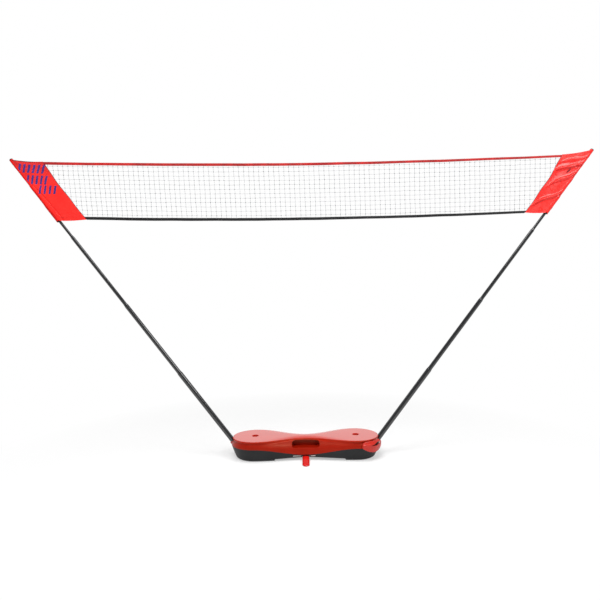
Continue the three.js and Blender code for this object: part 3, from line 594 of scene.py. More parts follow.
def fold_height(name, u, v):
    """How far the cloth stands out to the front at a place on the panel."""
    out = 0.0
    for (u0, v0), (u1, v1), bow, height, width in FOLDS[name]:
        along = (u - u0) / (u1 - u0)
        fade = smoothstep(along / 0.22 + 0.6) * smoothstep((1 - along) / 0.12 + 0.5)
        middle = v0 + (v1 - v0) * along + bow * math.sin(2 * math.pi * along)
        off = (v - middle) / width
        out += height * fade * math.exp(-off * off)
    if name == "left":
        beside = (u - 0.80 - 0.37 * v * v) / 0.028
        out -= 4 * math.exp(-beside * beside) * smoothstep((0.66 - v) / 0.15)
    return out


def panel_point(name, u, v):
    """A point of the cloth: u runs from the inner edge to the pole, v from the bottom edge to the top."""
    inner = inner_edge(name, v)
    outer = OUTER_BOTTOM.lerp(OUTER_TOP, v)
    point = inner.lerp(outer, u)
    point.z -= TOP_DRAW * math.sin(math.pi * u) * smoothstep((v - 0.6) / 0.4)
    point.z -= 3 * math.sin(math.pi * u) * smoothstep((0.3 - v) / 0.3)
    near = smoothstep(u / 0.08 + 0.15) * smoothstep((1 - u) / 0.06 + 0.25)
    soft = waver(u * 2.1, v * 3.4, 3.0 if name == "left" else 8.0) * 2
    over = pocket_radius(POCKET_LENGTH * (1 - v)) * min(1, u / 0.95)
    point.y = -near * (fold_height(name, u, v) + soft) - over
    return point


def side_point(point, side):
    return Vector((side * point.x, point.y, point.z))


def mirrored(mesh, side):
    """A mesh put on its own side of the net, with its faces outwards."""
    points, faces = mesh
    return [side_point(p, side) for p in points], [f[::-1] for f in faces] if side < 0 else faces


def end_panel(name, side):
    """One panel's cloth, its pocket for the pole, its hems and the dark binding of its inner edge."""
    body, size = f"{name}_pole_4", PANELS[name]

    def place(u, v):
        return side_point(panel_point(name, u, v), side)

    fin = piece(f"end_panel_cloth_{name}", sheet_mesh(72, 150, CLOTH, lambda u, v: place(u * 0.985, v)),
                red_cloth[name], body, slot="red_cloth", sharp=70)
    pocket = piece(f"pole_pocket_{name}", pocket_mesh(name, side), pocket_cloth[name],
                   body, f"end_panel_{name}", slot="red_cloth", sharp=60)
    hems = [tube_mesh([place(i / 40 * 0.97, v) for i in range(41)], radius, 10) for v, radius in HEMS]
    hem = make(f"panel_hems_{name}", merged(hems), red_cloth[name])
    hem.data.materials.append(piping_cloth)
    for face in hem.data.polygons:
        along = (OUTER_TOP.x - abs(face.center.x) / MM) / size["top width"]
        if name == "left" and face.center.z > 1.45 and along < 0.72:
            face.material_index = 1
    settle(hem, body, slot="red_cloth")
    piping = piece(f"panel_piping_{name}", tube_mesh([place(0, i / 60) for i in range(61)], PIPING, 10),
                   piping_cloth, body, f"edge_binding_{name}", slot="black_tape")
    if name == "right":
        # A small dark strip on the right panel, standing in for a fold shadow: painted shade.
        shadow_stroke = [place(0.60 + 0.010 * i, 0.658 + 0.013 * i) + Vector((0, -1.2, 0)) for i in range(6)]
        piece("panel_fold_shadow_right", tube_mesh(shadow_stroke, 4, 10, lambda s: 0.6 + 0.4 * math.sin(math.pi * s)),
              fold_shadow_cloth, body, slot="dark_red_tape")


def pocket_radius(down):
    """Radius of the pocket at a distance below the tip: it widens over the thicker sections that slide in."""
    radius = tube_radius(TOP_SECTION)
    radius += (tube_radius(2) - tube_radius(3)) * smoothstep((down - 150) / 30)
    radius += (tube_radius(1) - tube_radius(2)) * smoothstep((down - 275) / 30)
    return radius + POCKET_PLAY


def pocket_mesh(name, side):
    """The sewn tube of cloth round the top of the pole, a little crumpled."""
    steps, around = 120, 28
    seed, crumple = (1.7, 0.5) if name == "left" else (5.2, 1.0)
    place = pole_matrix(side, POLE_LENGTH)
    points = []
    for layer in (CLOTH, 0.0):
        for j in range(steps + 1):
            down = POCKET_LENGTH * j / steps
            for a in angles(around):
                lump = waver(math.cos(a) * 1.2, math.sin(a) * 1.2 + seed, down / 22)
                radius = pocket_radius(down) + layer + max(0, lump) * 1.6 * crumple
                points.append(place @ Vector((radius * math.cos(a), radius * math.sin(a), -down)))
    size = around * (steps + 1)
    faces = bands(steps + 1, around) + [face[::-1] for face in bands(steps + 1, around, size)]
    for j in (0, steps):
        for k in range(around):
            a, b = j * around + k, j * around + (k + 1) % around
            face = (a, b, b + size, a + size)
            faces.append(face if j == 0 else face[::-1])
    return points, faces


def print_marks():
    """Plain slanted bars in three rows on the left panel."""
    parts = []
    for top, bottom, start, end, count in BAR_ROWS:
        for i in range(count):
            low = start + (end - start) / count * (i + 0.2)

            def place(u, v, low=low, top=top, bottom=bottom):
                along = min(0.985, max(0.02, low + BAR_WIDTH * u + BAR_LEAN * (0.5 - v)))
                point = panel_point("left", along, bottom + (top - bottom) * v)
                return side_point(point, -1) + Vector((0, -CLOTH / 2 - 0.25, 0))

            parts.append(sheet_mesh(6, 16, 0.2, place))
    piece("panel_print_left", merged(parts), blue_print, "left_pole_4", slot="red_cloth", sharp=70)


# Net and tapes

def tape_line(name, label, x):
    """Height of a tape's middle line and half of its own height, at a distance from the middle of the net."""
    middle, rise, power, height, end_height = TAPES[name][label]
    share = x / (INNER_TOP if label == "top" else INNER_BOTTOM)[name].x
    return middle + rise * abs(share) ** power, (height + (end_height - height) * share) / 2


def edge_x(name, z):
    """Half length of the net at a height."""
    low, high = INNER_BOTTOM[name].z, INNER_TOP[name].z
    return inner_edge(name, (z - low) / (high - low)).x - PIPING


def tape(name, side, label, thickness, material, seed):
    """A folded tape along one edge of a net half, with a slight wave and thicker hems."""
    columns, around = 170, 16
    end = INNER_BOTTOM[name].x
    for _ in range(8):
        end = edge_x(name, tape_line(name, label, end)[0])
    slant = INNER_TOP[name] - INNER_BOTTOM[name]
    rings = []
    for i in range(columns + 1):
        x = HALVES_APART + (end - HALVES_APART) * i / columns
        level, half = tape_line(name, label, x)
        wave = waver(side * x / 130, seed, 0.3)
        twist = 0.25 * waver(side * x / 210, seed + 4, 1.3)
        ease = smoothstep(x / 60) * smoothstep((end - x) / 60)
        middle = Vector((side * x, wave * 2.2 * ease, level + TAPE_WAVE * wave * ease))
        rings.append([])
        for a in angles(around):
            up = math.copysign(abs(math.cos(a)) ** 0.6, math.cos(a)) * half
            thick = math.copysign(abs(math.sin(a)) ** 0.6, math.sin(a)) * thickness / 2
            thick *= 1 + 0.5 * smoothstep(abs(up) / half * 2 - 1.1)
            along = side * up * slant.x / slant.z * smoothstep((x / end - 0.97) / 0.03)
            rings[-1].append(middle + Vector((along, thick + up * twist * ease, up)))
    points, faces = joined(rings)
    if side < 0:
        faces = [face[::-1] for face in faces]
    return make(f"{label}_tape_{name}_visual", (points, faces), material, sharp=60)


def net_mesh(name, side):
    """Strands and knots of one half of the net, both on the right side."""
    chance = random.Random(11 if side > 0 else 23)
    columns = int(INNER_TOP[name].x / MESH_WIDTH) + 2
    strands, knots = [], []

    def edge(label, x, way):
        """The height of the edge of a tape that faces the mesh."""
        level, half = tape_line(name, label, x)
        return level + way * half

    def knot_place(i, j):
        start = MESH_WIDTH * (i + 0.5)
        v = j / (MESH_ROWS - 1)
        x = start + (1 - v) * (side * 8 - 0.0127 * start)
        low, high = edge("bottom", x, 1) + ROW_MARGIN, edge("top", x, -1) - ROW_MARGIN * 0.6
        return Vector((x, 0, low + (high - low) * v))

    def inside(point):
        return point.x < edge_x(name, point.z)

    def cut_to_edge(near, far):
        """The place between two others at which a strand meets the panel."""
        for _ in range(14):
            middle = (near + far) / 2
            near, far = (middle, far) if inside(middle) else (near, middle)
        return near

    def waved(point):
        wave = noise.noise_vector(Vector((side * point.x / 55, point.z / 40, 7.5)))
        far = smoothstep(point.x / 20) * smoothstep((edge_x(name, point.z) - point.x) / 20)
        return point + Vector((wave.x, wave.y * 1.5, wave.z)) * NET_WAVE * far

    def strand(a, b, radius):
        """A strand between two places, as far as it lies inside the panel's edge."""
        if not inside(a):
            a, b = b, a
        if not inside(a):
            return
        if not inside(b):
            b = cut_to_edge(a, b)
        sag = Vector((0, 0, -0.25 * abs(b.x - a.x) / MESH_WIDTH))
        first, last = waved(a), waved(b)
        strands.append(tube_mesh([first, (first + last) / 2 + sag, last], radius, 5))

    grid = [[knot_place(i, j) for j in range(MESH_ROWS)] for i in range(columns)]
    for column in grid:
        top = Vector((column[-1].x, 0, edge("top", column[-1].x, -1) + 1.5))
        bottom = Vector((column[0].x, 0, edge("bottom", column[0].x, 1) - 1.5))
        chain = [bottom, *column, top]
        for a, b in zip(chain, chain[1:]):
            strand(a, b, TWINE)
        for point in column:
            if inside(point + Vector((KNOT, 0, 0))):
                knots.append(knot_mesh(waved(point), chance))
    for row in zip(*grid):
        chain = [Vector((0, 0, row[0].z)), *row]
        for a, b in zip(chain, chain[1:]):
            strand(a, b, TWINE * 0.75)
    return merged(strands), merged(knots)


def knot_mesh(place, chance):
    """A small uneven knot."""
    rings, sides = 4, 6
    turn = chance.uniform(0, 1)
    size = KNOT * chance.uniform(0.75, 1.15)
    points = []
    for i in range(rings + 1):
        polar = math.pi * i / rings
        for k in range(sides):
            a = 2 * math.pi * (k / sides + turn)
            wide = size * math.sin(polar) * (1 + 0.2 * math.cos(3 * a))
            points.append(place + Vector((wide * math.cos(a), wide * math.sin(a) * 0.8, size * math.cos(polar))))
    faces = bands(rings + 1, sides)
    faces[:sides] = [face[:3] for face in faces[:sides]]
    faces[-sides:] = [face[:2] + face[3:] for face in faces[-sides:]]
    return points, faces


def blend_across(obj):
    """Bakes the place of a piece of the net into its mesh."""
    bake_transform(obj)


def net_half(name, side):
    """The strands, knots and tapes between one panel and the middle of the net."""
    net, net_knots = net_mesh(name, side)
    strands = make(f"net_strands_{name}", mirrored(net, side), twine, sharp=80)
    knots = make(f"net_knots_{name}", mirrored(net_knots, side), knot_twine, sharp=80)
    upper = tape(name, side, "top", 2.2, dark_red_tape, 2.0)
    lower = tape(name, side, "bottom", 2.0, black_tape, 9.0)
    for obj, node, slot in ((strands, f"net_{name}", "net_twine"), (knots, None, "net_twine"),
                            (upper, f"top_tape_{name}", "dark_red_tape"),
                            (lower, f"bottom_tape_{name}", "black_tape")):
        blend_across(obj)
        if node:
            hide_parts(node)


# Carry case

LOBE = 259                    # from the middle of the case to the middle of each round end
FLOOR_STEPS = {-1: 152, 1: 195}     # where the raised part of the floor begins on each side
STEP_RUN = 6
SEAM_GAP = 0.3
CASE_WALL = 2.6
LID_TOP = 104
ARC_STEPS = 30
WAIST_STEPS = 44


def spec(radius, waist, tip, side, middle, step=None):
    """One outline of the case: sizes of its round ends and waist, and heights at its tip, sides and waist."""
    return np.array([radius, waist, tip, side, middle, middle if step is None else step], float)


def quarter_outline(values, stepped, side):
    radius, waist, tip, end, middle, step = values
    floor_step = FLOOR_STEPS[side]
    points = []
    for i in range(ARC_STEPS + 1):
        a = math.pi / 2 * i / ARC_STEPS
        points.append((LOBE + radius * math.cos(a), radius * math.sin(a), tip + (end - tip) * math.sin(a) ** 2))
    stations = [LOBE * (1 - i / WAIST_STEPS) for i in range(1, WAIST_STEPS + 1)]
    stations += [floor_step + STEP_RUN, floor_step + STEP_RUN * 0.5, floor_step]
    for x in sorted(stations, reverse=True):
        draw = (1 - math.cos((1 - x / LOBE) * math.pi)) / 2
        z = end + (middle - end) * draw
        raised = middle + (step - middle) * min(1, x / floor_step)
        raised += (end - raised) * smoothstep((x - floor_step) / STEP_RUN)
        points.append((side * x, radius + (waist - radius) * draw, z + (raised - z) * stepped))
    return [(side * abs(x), y, z) for x, y, z in points]


def outline(values, stepped=0.0):
    """Points of an outline, anticlockwise from above. Stepped ones keep their height up to the floor's step."""
    half = quarter_outline(values, stepped, 1) + quarter_outline(values, stepped, -1)[-2::-1]
    return [Vector(p) for p in half + [(x, -y, z) for x, y, z in half[-2:0:-1]]]


def rounded(specs, softness, steps):
    """Outlines with the corners between them rounded; softness is how far each rounding reaches."""
    result = [specs[0]]
    for before, corner, after, reach in zip(specs, specs[1:], specs[2:], softness):
        ends = []
        for other in (before, after):
            length = max(np.hypot(other[0] - corner[0], other[2] - corner[2]), 1e-6)
            ends.append(corner + (other - corner) * min(0.5, reach / length))
        for i in range(steps + 1):
            s = i / steps
            result.append(ends[0] * (1 - s) ** 2 + corner * 2 * s * (1 - s) + ends[1] * s * s)
    result.append(specs[-1])
    return result


def inset(values, by, down=0.0):
    return values - np.array([by, by, down, down, down, down])


def loft(rings):
    """A mesh of rings of points joined in order, with both ends closed across the long axis."""
    count = len(rings[0])
    points = [p for ring in rings for p in ring]
    faces = [(a, d, c, b) for a, b, c, d in bands(len(rings), count)]
    last = (len(rings) - 1) * count
    for i in range(count // 2):
        a, b, c, d = i, i + 1, (count - i) % count, count - i - 1
        corners = [a] if a == c else [c, a]
        corners += [b] if b == d else [b, d]
        faces.append(tuple(reversed(corners)))
        faces.append(tuple(last + k for k in corners))
    return points, faces


# The lid's outlines from the seam to the top, and the tray's from its floor
SEAM = spec(122, 85, 69, 67, 30)
CREASE = spec(120.5, 80.5, 76, 77, 54)
SHOULDER = spec(116.5, 66, 84, 84, 80)
UNDER_LIP = spec(110.5, 46, 93.5, 93.5, 89.5)
LIP = spec(116, 41, 99, 99, 94.5)
LIP_TOP = spec(116, 41, 101.5, 101.5, 97)
TOP_EDGE = spec(113.5, 38.5, LID_TOP, LID_TOP, 99.5)
CROWN = [spec(113.5 - by, 38.5 - by, LID_TOP, LID_TOP, 99.5 + 4.5 * math.sin(math.pi / 2 * by / 36))
         for by in (8, 18, 28, 36)]
FLOOR = spec(90, 73, 2, 2, 14.5, 8.5)
HAUNCH = spec(98, 77, 6.5, 6.5, 17, 13.5)
FLANK = spec(107, 80, 26, 31.5, 20.75)


def closed_object(mesh):
    obj = mesh_object("tool", *mesh)
    turn_outwards(obj)
    return obj


def combine(obj, add=(), take=(), common=()):
    """Adds closed meshes to a piece, takes others out of it and keeps what it has in common with others."""
    steps = [("UNION", mesh) for mesh in add] + [("DIFFERENCE", mesh) for mesh in take]
    for operation, mesh in steps + [("INTERSECT", mesh) for mesh in common]:
        tool = closed_object(mesh)
        change = obj.modifiers.new("change", "BOOLEAN")
        change.operation = operation
        change.solver = "MANIFOLD"
        change.object = tool
        settled = bpy.data.meshes.new_from_object(obj.evaluated_get(bpy.context.evaluated_depsgraph_get()))
        obj.modifiers.clear()
        obj.data = settled
        bpy.data.objects.remove(tool)


def part_of(mesh, limit):
    """What two closed meshes have in common, as a mesh in millimetres."""
    obj = closed_object(mesh)
    combine(obj, common=[limit])
    points = [v.co / MM for v in obj.data.vertices]
    faces = [tuple(face.vertices) for face in obj.data.polygons]
    bpy.data.objects.remove(obj)
    return points, faces


def between(near, far):
    """A closed mesh between two outlines of as many points."""
    count = len(near)
    return near + far, [tuple(range(count)), tuple(reversed(range(count, 2 * count)))] + bands(2, count)


def prism(points, way):
    """A closed mesh from a flat outline that is pushed along a way, with its faces outwards."""
    both, faces = between(points, [p + way for p in points])
    middle = sum(points, Vector()) / len(points)
    area = sum(((p - middle).cross(q - middle) for p, q in zip(points, points[1:] + points[:1])), Vector())
    return both, [face[::-1] for face in faces] if area.dot(way) > 0 else faces


def block(low, high):
    (x0, y0, z0), (x1, y1, z1) = low, high
    corners = [Vector(c) for c in ((x0, y0, z0), (x1, y0, z0), (x1, y1, z0), (x0, y1, z0))]
    return prism(corners, Vector((0, 0, z1 - z0)))


RECESS_LENGTH = 140
RECESS_HEIGHT = 30
RECESS_REACH = (RECESS_LENGTH - RECESS_HEIGHT) / 2    # from the middle to the centre of each round end
RECESS_Z = 78
RECESS_BACK = 27
RECESS_DEPTH = 120            # of the cut, out past the wall
RECESS_STEPS = 16
DIMPLE_RADIUS = 15
DIMPLE_DEPTH = 11
DIMPLE_RIM = 4
NOTCH_HALF = 26
NOTCH_TOP = 78
NOTCH_START = 318
NOTCH_RADIUS = 19.5
PLATE_LOW = 98.8              # of the glossy top plate


def recess_tool(grow, side, back):
    """A long round-ended block on one side of the case, from behind the recess to the open air."""
    radius = RECESS_HEIGHT / 2 + grow
    points = []
    for end in (1, -1):
        for i in range(RECESS_STEPS + 1):
            a = math.pi * i / RECESS_STEPS - math.pi / 2
            x, z = end * (RECESS_REACH + radius * math.cos(a)), RECESS_Z + end * radius * math.sin(a)
            points.append(Vector((x, side * back, z)))
    return prism(points, Vector((0, side * RECESS_DEPTH, 0)))


def upright(profile, x, sides=48, y=0):
    return lathe(profile, sides, Matrix.Translation((x, y, 0)))


def lid_tone(middle, normal, from_dimple):
    """The red of one face of the lid, from lighter and darker copies of one red that paint in light and shade;
    from_dimple is from a dimple's axis to the face's farthest corner.
    """
    x, y, z = middle
    if from_dimple < DIMPLE_RADIUS + DIMPLE_RIM + 0.2 and z > LID_TOP - DIMPLE_DEPTH - 1:
        # The fillet round a dimple takes the brighter copy of the red, a painted highlight; the bowl takes the
        # lighter lip red.
        rim = normal.z < 0.97 and z > 102.4 and from_dimple > DIMPLE_RADIUS + 1
        return red_painted_light if rim else red_lip_painted_light
    if normal.z > 0.96 and z > PLATE_LOW and (z > 103.2 or abs(y) < 116):
        return red_gloss
    from_middle = math.hypot(max(0, abs(x) - RECESS_REACH), z - RECESS_Z)
    # Inside the recess: painted shade on the faces of its floor, painted light on its back wall.
    if from_middle < 15.1 and (abs(y) < 31 or from_middle > 14.3) and abs(x) < 71 and abs(normal.y) != 1:
        return red_recess_floor_painted_shade if normal.z > 0.25 and abs(y) < 75 else red_recess_painted_light
    # The band from under the lip upwards takes the lighter copy of the red as painted light, and the wall below it
    # the darker red as painted shade under the lip.
    return red_lip_painted_light if z > 89.2 + 4 * min(1, abs(x) / LOBE) else red_plastic


def color_lid(obj):
    """Gives the lid's faces their tones, lighter and darker copies of one red as painted light and shade, and the
    flat ring round each dimple a sharp edge.
    """
    tones = [red_plastic, red_gloss, red_recess_painted_light, red_painted_light, red_recess_floor_painted_shade, red_lip_painted_light]
    mesh = obj.data
    for tone in tones[1:]:
        mesh.materials.append(tone)
    level = set()
    for face in mesh.polygons:
        corners = [mesh.vertices[i].co / MM for i in face.vertices]
        from_dimple = max(math.hypot(abs(p.x) - LOBE, p.y) for p in corners)
        face.material_index = tones.index(lid_tone(face.center / MM, face.normal, from_dimple))
        if face.normal.z > 0.9999:
            level.update(tuple(sorted(pair)) for pair in face.edge_keys)
    for edge in mesh.edges:
        x, y, _ = mesh.vertices[edge.vertices[0]].co / MM
        if math.hypot(abs(x) - LOBE, y) < DIMPLE_RADIUS + DIMPLE_RIM + 1 and tuple(sorted(edge.vertices)) in level:
            edge.use_edge_sharp = True


def lid():
    """The upper shell with its recesses, dimples and notches for the poles."""
    walls = [inset(TOP_EDGE, 2 * CASE_WALL, CASE_WALL)]
    walls += [inset(values, CASE_WALL) for values in (UNDER_LIP, SHOULDER, CREASE, SEAM)]
    levels = rounded([SEAM, CREASE, SHOULDER, UNDER_LIP, LIP, LIP_TOP, TOP_EDGE] + CROWN,
                     (2.5, 7, 6, 1.5, 1.2, 1.6, 4, 4, 4), 6)
    whole = loft([outline(values) for values in levels])
    obj = make("case_lid", loft([outline(values) for values in walls + levels]), red_plastic)
    low = LID_TOP - DIMPLE_DEPTH
    outer, rim = DIMPLE_RADIUS + CASE_WALL, DIMPLE_RADIUS + DIMPLE_RIM
    cup = [(0, low - CASE_WALL), (outer, low - CASE_WALL), (outer, LID_TOP - 1), (0, LID_TOP - 1)]
    bowl = [(0, low), (9, low + 0.3), (12.5, low + 1.6), (14.2, low + 3.6), (DIMPLE_RADIUS, low + 7)]
    bowl += [(DIMPLE_RADIUS, LID_TOP - 1.6), (DIMPLE_RADIUS + 0.4, LID_TOP - 1.3)]
    bowl += [(rim, LID_TOP), (rim, LID_TOP + 20), (0, LID_TOP + 20)]
    add, take = [], []
    for side in (-1, 1):
        start, end = sorted((side * NOTCH_START, side * 430))
        add += [part_of(recess_tool(CASE_WALL, side, RECESS_BACK), whole), upright(cup, side * LOBE)]
        take += [recess_tool(0, side, RECESS_BACK + CASE_WALL), upright(bowl, side * LOBE),
                 block((start, -NOTCH_HALF, -40), (end, NOTCH_HALF, NOTCH_TOP)),
                 tube_mesh([pole_point(-80, side), pole_point(80, side)], NOTCH_RADIUS, TUBE_SIDES)]
    combine(obj, add, take)
    dress(obj, red_plastic, 35)
    color_lid(obj)
    settle(obj, "lid", "upper_shell", slot="red_plastic")


CHANNEL_HALF = 18.5
CHANNEL_WALL = 2.6
CHANNEL_TOP = 24.1
CHANNEL_REACH = 130
RIB_ENDS = (306, 381)
RIB_PITCH = 12
RIB_HALF = 1.5
RIB_TOP = 47
STRIP_ENDS = ((-64, -24), (24, 48))
STRIP_LOW = 21.6
STRIP_HEIGHT = 4.2


def tray_levels(steps=5):
    return rounded([FLOOR, HAUNCH, FLANK, inset(SEAM, 0, SEAM_GAP)], (5, 12), steps)


def tray():
    """The lower shell with the channel for the cross foot, its ribs and the seats of the pole sockets."""
    outer = [outline(values, 1 - smoothstep((values[2] - 6.5) / 19.5)) for values in tray_levels()]
    inner = [inset(SEAM, CASE_WALL, SEAM_GAP), inset(FLANK, CASE_WALL), inset(HAUNCH, CASE_WALL, -CASE_WALL)]
    inner_rings = [outline(values) for values in inner] + [outline(inset(FLOOR, CASE_WALL, -CASE_WALL), 1.0)]
    whole = loft(outer)
    obj = make("case_tray", loft(outer + inner_rings), black_plastic)
    hood_half = CHANNEL_HALF + CHANNEL_WALL
    add = [part_of(block((-hood_half, -CHANNEL_REACH, 0), (hood_half, CHANNEL_REACH, LID_TOP)), whole)]
    for side in (-1, 1):
        start, end = sorted((side * RIB_ENDS[0], side * RIB_ENDS[1]))
        for row in (-1, 0, 1):
            middle = row * RIB_PITCH
            add.append(part_of(block((start, middle - RIB_HALF, 0), (end, middle + RIB_HALF, RIB_TOP)), whole))
    take = [block((-CHANNEL_HALF, -CHANNEL_REACH, -40), (CHANNEL_HALF, CHANNEL_REACH, CHANNEL_TOP))]
    seat = TUBE_DIAMETER / 2 + SOCKET_PLAY + SOCKET_WALL + 0.5
    for side in (-1, 1):
        ends = [pole_point(-SOCKET_DEPTH - 0.5, side), pole_point(40, side)]
        take.append(tube_mesh(ends, seat, TUBE_SIDES))
    combine(obj, add, take)
    dress(obj, black_plastic, 35)
    settle(obj, "case_base", "lower_shell", slot="black_plastic")


def front_y(levels, x, z):
    """Where the front of the case lies at a place along it and a height."""
    best = None
    for values in levels:
        ring = outline(values)
        for p, q in zip(ring, ring[1:] + ring[:1]):
            if p.y <= 0 and q.y <= 0 and min(p.x, q.x) <= x < max(p.x, q.x):
                share = (x - p.x) / (q.x - p.x)
                point = p.lerp(q, share)
                if best is None or abs(point.z - z) < abs(best.z - z):
                    best = point
    return best.y


def tray_strips():
    """Pale strips along the front of the tray, one on each side of the cross foot."""
    levels = tray_levels(12)
    parts = []
    for start, end in STRIP_ENDS:
        def place(u, v, start=start, end=end):
            x, z = start + (end - start) * u, STRIP_LOW + STRIP_HEIGHT * v
            return Vector((x, front_y(levels, x, z) - 0.2, z))
        parts.append(sheet_mesh(14, 3, 1.4, place))
    piece("tray_strips", merged(parts), pale_plastic, "case_base", slot="steel", sharp=60)


def sockets():
    """The collars that the poles stand in."""
    bore = TUBE_DIAMETER / 2 + SOCKET_PLAY
    wall = bore + SOCKET_WALL
    low, rim = -SOCKET_DEPTH, wall + 0.8
    profile = [(0, low), (wall - 1, low), (wall, low + 1), (wall, -7.8), (rim, -7)]
    profile += [(rim - 1.4 * (1 - math.cos(a)), -1.4 * (1 - math.sin(a))) for a in (0, 0.4, 0.8, 1.2, math.pi / 2)]
    profile += [(bore + 0.8, 0), (bore, -1), (bore, low + 3), (0, low + 3)]
    for name, side in SIDES.items():
        # The collars take the brighter copy of the red, painted light.
        piece(f"pole_collar_{name}", lathe(profile, TUBE_SIDES, pole_matrix(side)), red_painted_light,
              "case_base", f"pole_socket_{name}", slot="red_plastic")


# Cross foot and pads

FOOT_LENGTH = 344
FOOT_WIDTH = 36
FOOT_HEIGHT = 22
FOOT_END = 11                 # height at its ends
FOOT_EDGE = 11                # radius of its long edges
FOOT_STEPS = 34
PAD = 1.6


def foot_outline(share):
    """The bar's outline across it, at a share of the way from its middle to an end."""
    reach, tip = FOOT_LENGTH / 2, FOOT_WIDTH / 2
    past = max(0, abs(share) * reach - (reach - tip))
    half = math.sqrt(tip ** 2 - past ** 2)
    slope = smoothstep((abs(share) - 0.55) / 0.45)
    height = (FOOT_HEIGHT + (FOOT_END - FOOT_HEIGHT) * slope) * math.sqrt(1 - 0.75 * (past / tip) ** 2)
    edge = min(FOOT_EDGE, half * 0.75, height * 0.8)
    sole = edge * 0.33
    side = [(0, 0), (half - sole, 0), (half - sole * 0.3, sole * 0.3), (half, sole)]
    side += [(half, (height - edge + sole) / 2)]
    side += [(half - edge * (1 - math.cos(a)), height - edge * (1 - math.sin(a)))
             for a in [math.pi / 2 * k / 8 for k in range(9)]]
    side += [((half - edge) / 2, height), (0, height)]
    return [Vector((x, share * reach, PAD + z)) for x, z in [(-x, z) for x, z in side] + side[-2:0:-1]]


def cross_foot():
    """The bar across the waist with its two pads, and the rings below the case's round ends."""
    shares = [0.9992 * math.sin(math.pi / 2 * i / FOOT_STEPS) for i in range(-FOOT_STEPS, FOOT_STEPS + 1)]
    piece("cross_foot_bar", joined([foot_outline(share) for share in shares]), foot_plastic,
          "foot", "cross_foot", slot="red_plastic", turned=True)
    profile = [(0, 0), (12.2, 0), (13, 0.5), (13, PAD - SEAM_GAP), (0, PAD - SEAM_GAP)]
    for label, side in (("front", -1), ("rear", 1)):
        piece(f"foot_pad_{label}_rubber", upright(profile, 0, 40, side * (FOOT_LENGTH - FOOT_WIDTH) / 2), rubber,
              "foot", f"foot_pad_{label}", slot="rubber")
    profile = [(68, 0.4), (68.5, 0), (79.5, 0), (80, 0.4), (80, 1.7), (68, 1.7)]
    for name, side in SIDES.items():
        piece(f"base_ring_{name}", upright(profile, side * LOBE, 96), rubber,
              "case_base", f"base_pad_{name}", slot="rubber")


# Catch at the right front corner

CATCH_BEARING = math.radians(48)
CATCH_INNER = 126
CATCH_THICK = 3
CATCH_LOW = 43
CATCH_HIGH = 88
CATCH_LEFT, CATCH_RIGHT = -52, 74   # ends of the flap, along the case's round end
CATCH_MIDDLE = 74             # height of its widest place
KNUCKLE = 122.2, 48           # from the middle of the round end, and height
KNUCKLE_HALF = 8


def catch_point(out, along, z):
    """A place from the middle of the right round end, along the catch's bearing and across it."""
    a = CATCH_BEARING + along / CATCH_INNER
    return Vector((LOBE + out * math.cos(a), -out * math.sin(a), z))


def flap_radius(z):
    share = (z - CATCH_LOW) / (CATCH_HIGH - CATCH_LOW)
    bulge = 5 * min(1, share) + 8 * max(0, share * (1 - share))
    return CATCH_INNER + CATCH_THICK / 2 + bulge - 13 * smoothstep((z - 82) / 16)


def flap_share(along):
    """How far a place on the flap is from its middle to its end, from 0 to 1."""
    return min(1, abs(along / (CATCH_LEFT if along < 0 else CATCH_RIGHT)))


def flap_low(along):
    rise = 6 * smoothstep(along / 60)
    return CATCH_MIDDLE - 30 * math.sqrt(1 - flap_share(along) ** 2.2) + rise


def flap_high(along):
    return CATCH_MIDDLE + 22.5 * math.sqrt(1 - flap_share(along) ** 9)


def flap_point(u, v):
    along = CATCH_LEFT + (CATCH_RIGHT - CATCH_LEFT) * (0.5 - 0.5 * math.cos(math.pi * u))
    z = flap_low(along) + (flap_high(along) - flap_low(along)) * v
    return catch_point(flap_radius(z), along, z)


def window_outline():
    """The slanted eye in the flap: places along it and their heights."""
    below = [(s, -5.5 * math.sin(math.pi * s ** 1.2)) for s in [i / 40 for i in range(41)]]
    above = [(s, 7.5 * math.sin(math.pi * s ** 1.5) ** 0.9) for s in [1 - i / 40 for i in range(1, 40)]]
    return [(33 - 79 * s, 77 + 5.5 * s + off) for s, off in below + above]


def shade_sheet_point(u, v):
    """A place on the black sheet of painted shade, which lies on the lid's wall behind the flap."""
    curves = (SEAM, CREASE, SHOULDER, UNDER_LIP)
    z = 71 + 20 * v
    wall = np.interp(z, [values[2] for values in curves], [values[0] for values in curves])
    return catch_point(wall + 0.9, 42 - 92 * u, z)


def inwards(point):
    """The level direction from a place to the axis of the case's right end."""
    return Vector((LOBE - point.x, -point.y, 0)).normalized()


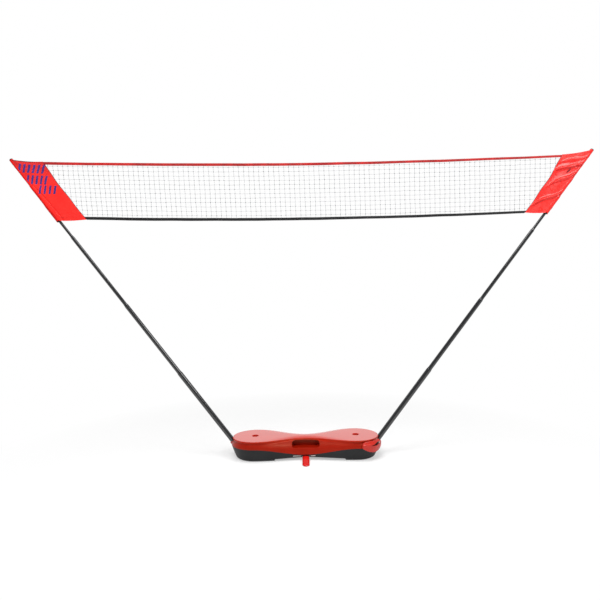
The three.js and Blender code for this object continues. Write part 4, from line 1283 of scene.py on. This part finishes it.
def catch():
    """The flap with its rim and knuckle, and the black sheet of painted shade and the steel bar behind it."""
    # The flap and its rim take the brighter copy of the red, painted light where the flap faces the light.
    flap = make("catch_flap_plate", sheet_mesh(64, 28, CATCH_THICK, flap_point, inwards), red_painted_light, sharp=50)
    turn_outwards(flap)
    near, far = ([catch_point(out, along, z) for along, z in window_outline()] for out in (90, 150))
    combine(flap, take=[between(near, far)])
    dress(flap, red_painted_light, 50)
    settle(flap, "catch", "catch_flap", slot="red_plastic")
    rim = [flap_point(i / 60, 0) for i in range(61)] + [flap_point(1 - i / 60, 1) for i in range(1, 60)]
    piece("catch_flap_rim", tube_mesh(rim + rim[:1], CATCH_THICK / 2 + 0.3, 10), red_painted_light,
          "catch", slot="red_plastic", sharp=80)
    piece("catch_knuckle", catch_knuckle(), red_plastic, "catch", slot="red_plastic")
    # A black sheet on the lid's wall behind the flap's window: painted shade in the gap behind the flap.
    piece("catch_shade_sheet", sheet_mesh(30, 10, 0.7, shade_sheet_point, inwards), black_plastic,
          "lid", slot="black_plastic", sharp=60, turned=True)
    bar = [catch_point(124, 6 - 34 * i / 12, 81 + 5 * i / 12) for i in range(13)]
    piece("catch_clasp", tube_mesh(bar, 1.7, 12), steel, "lid", slot="steel", sharp=60)


def catch_frame(out, along, z):
    """A place as catch_point gives, but straight across instead of round the case."""
    outwards = Vector((math.cos(CATCH_BEARING), -math.sin(CATCH_BEARING), 0))
    sideways = Vector((-math.sin(CATCH_BEARING), -math.cos(CATCH_BEARING), 0))
    return Vector((LOBE, 0, z)) + outwards * out + sideways * along


def catch_knuckle():
    """The barrel round the catch's pin and the web that joins it to the flap."""
    out, z = KNUCKLE
    barrel = tube_mesh([catch_frame(out, -KNUCKLE_HALF, z), catch_frame(out, KNUCKLE_HALF, z)], 2.6, 20)
    corners = ((out, z - 2), (127.5, z - 2), (127.5, z + 2), (out, z + 2))
    web = [catch_frame(away, -KNUCKLE_HALF, height) for away, height in corners]
    return merged([barrel, prism(web, catch_frame(0, 2 * KNUCKLE_HALF, 0) - catch_frame(0, 0, 0))])


camera()
world()
for lamp, settings in LAMPS.items():
    area_light(lamp, *settings)
floor()
poles()
for side_name, side_sign in SIDES.items():
    end_panel(side_name, side_sign)
    net_half(side_name, side_sign)
print_marks()
lid()
tray()
tray_strips()
sockets()
cross_foot()
catch()

LOOKS = {"red_plastic": red_plastic, "black_plastic": black_plastic, "steel": steel, "rubber": rubber}
for entry in frame["record"]["subparts"]:
    node = frame["nodes"][entry["node"]]
    if not node.hide_render and entry["material_slot"] in LOOKS:
        node.data.materials.clear()
        node.data.materials.append(LOOKS[entry["material_slot"]])
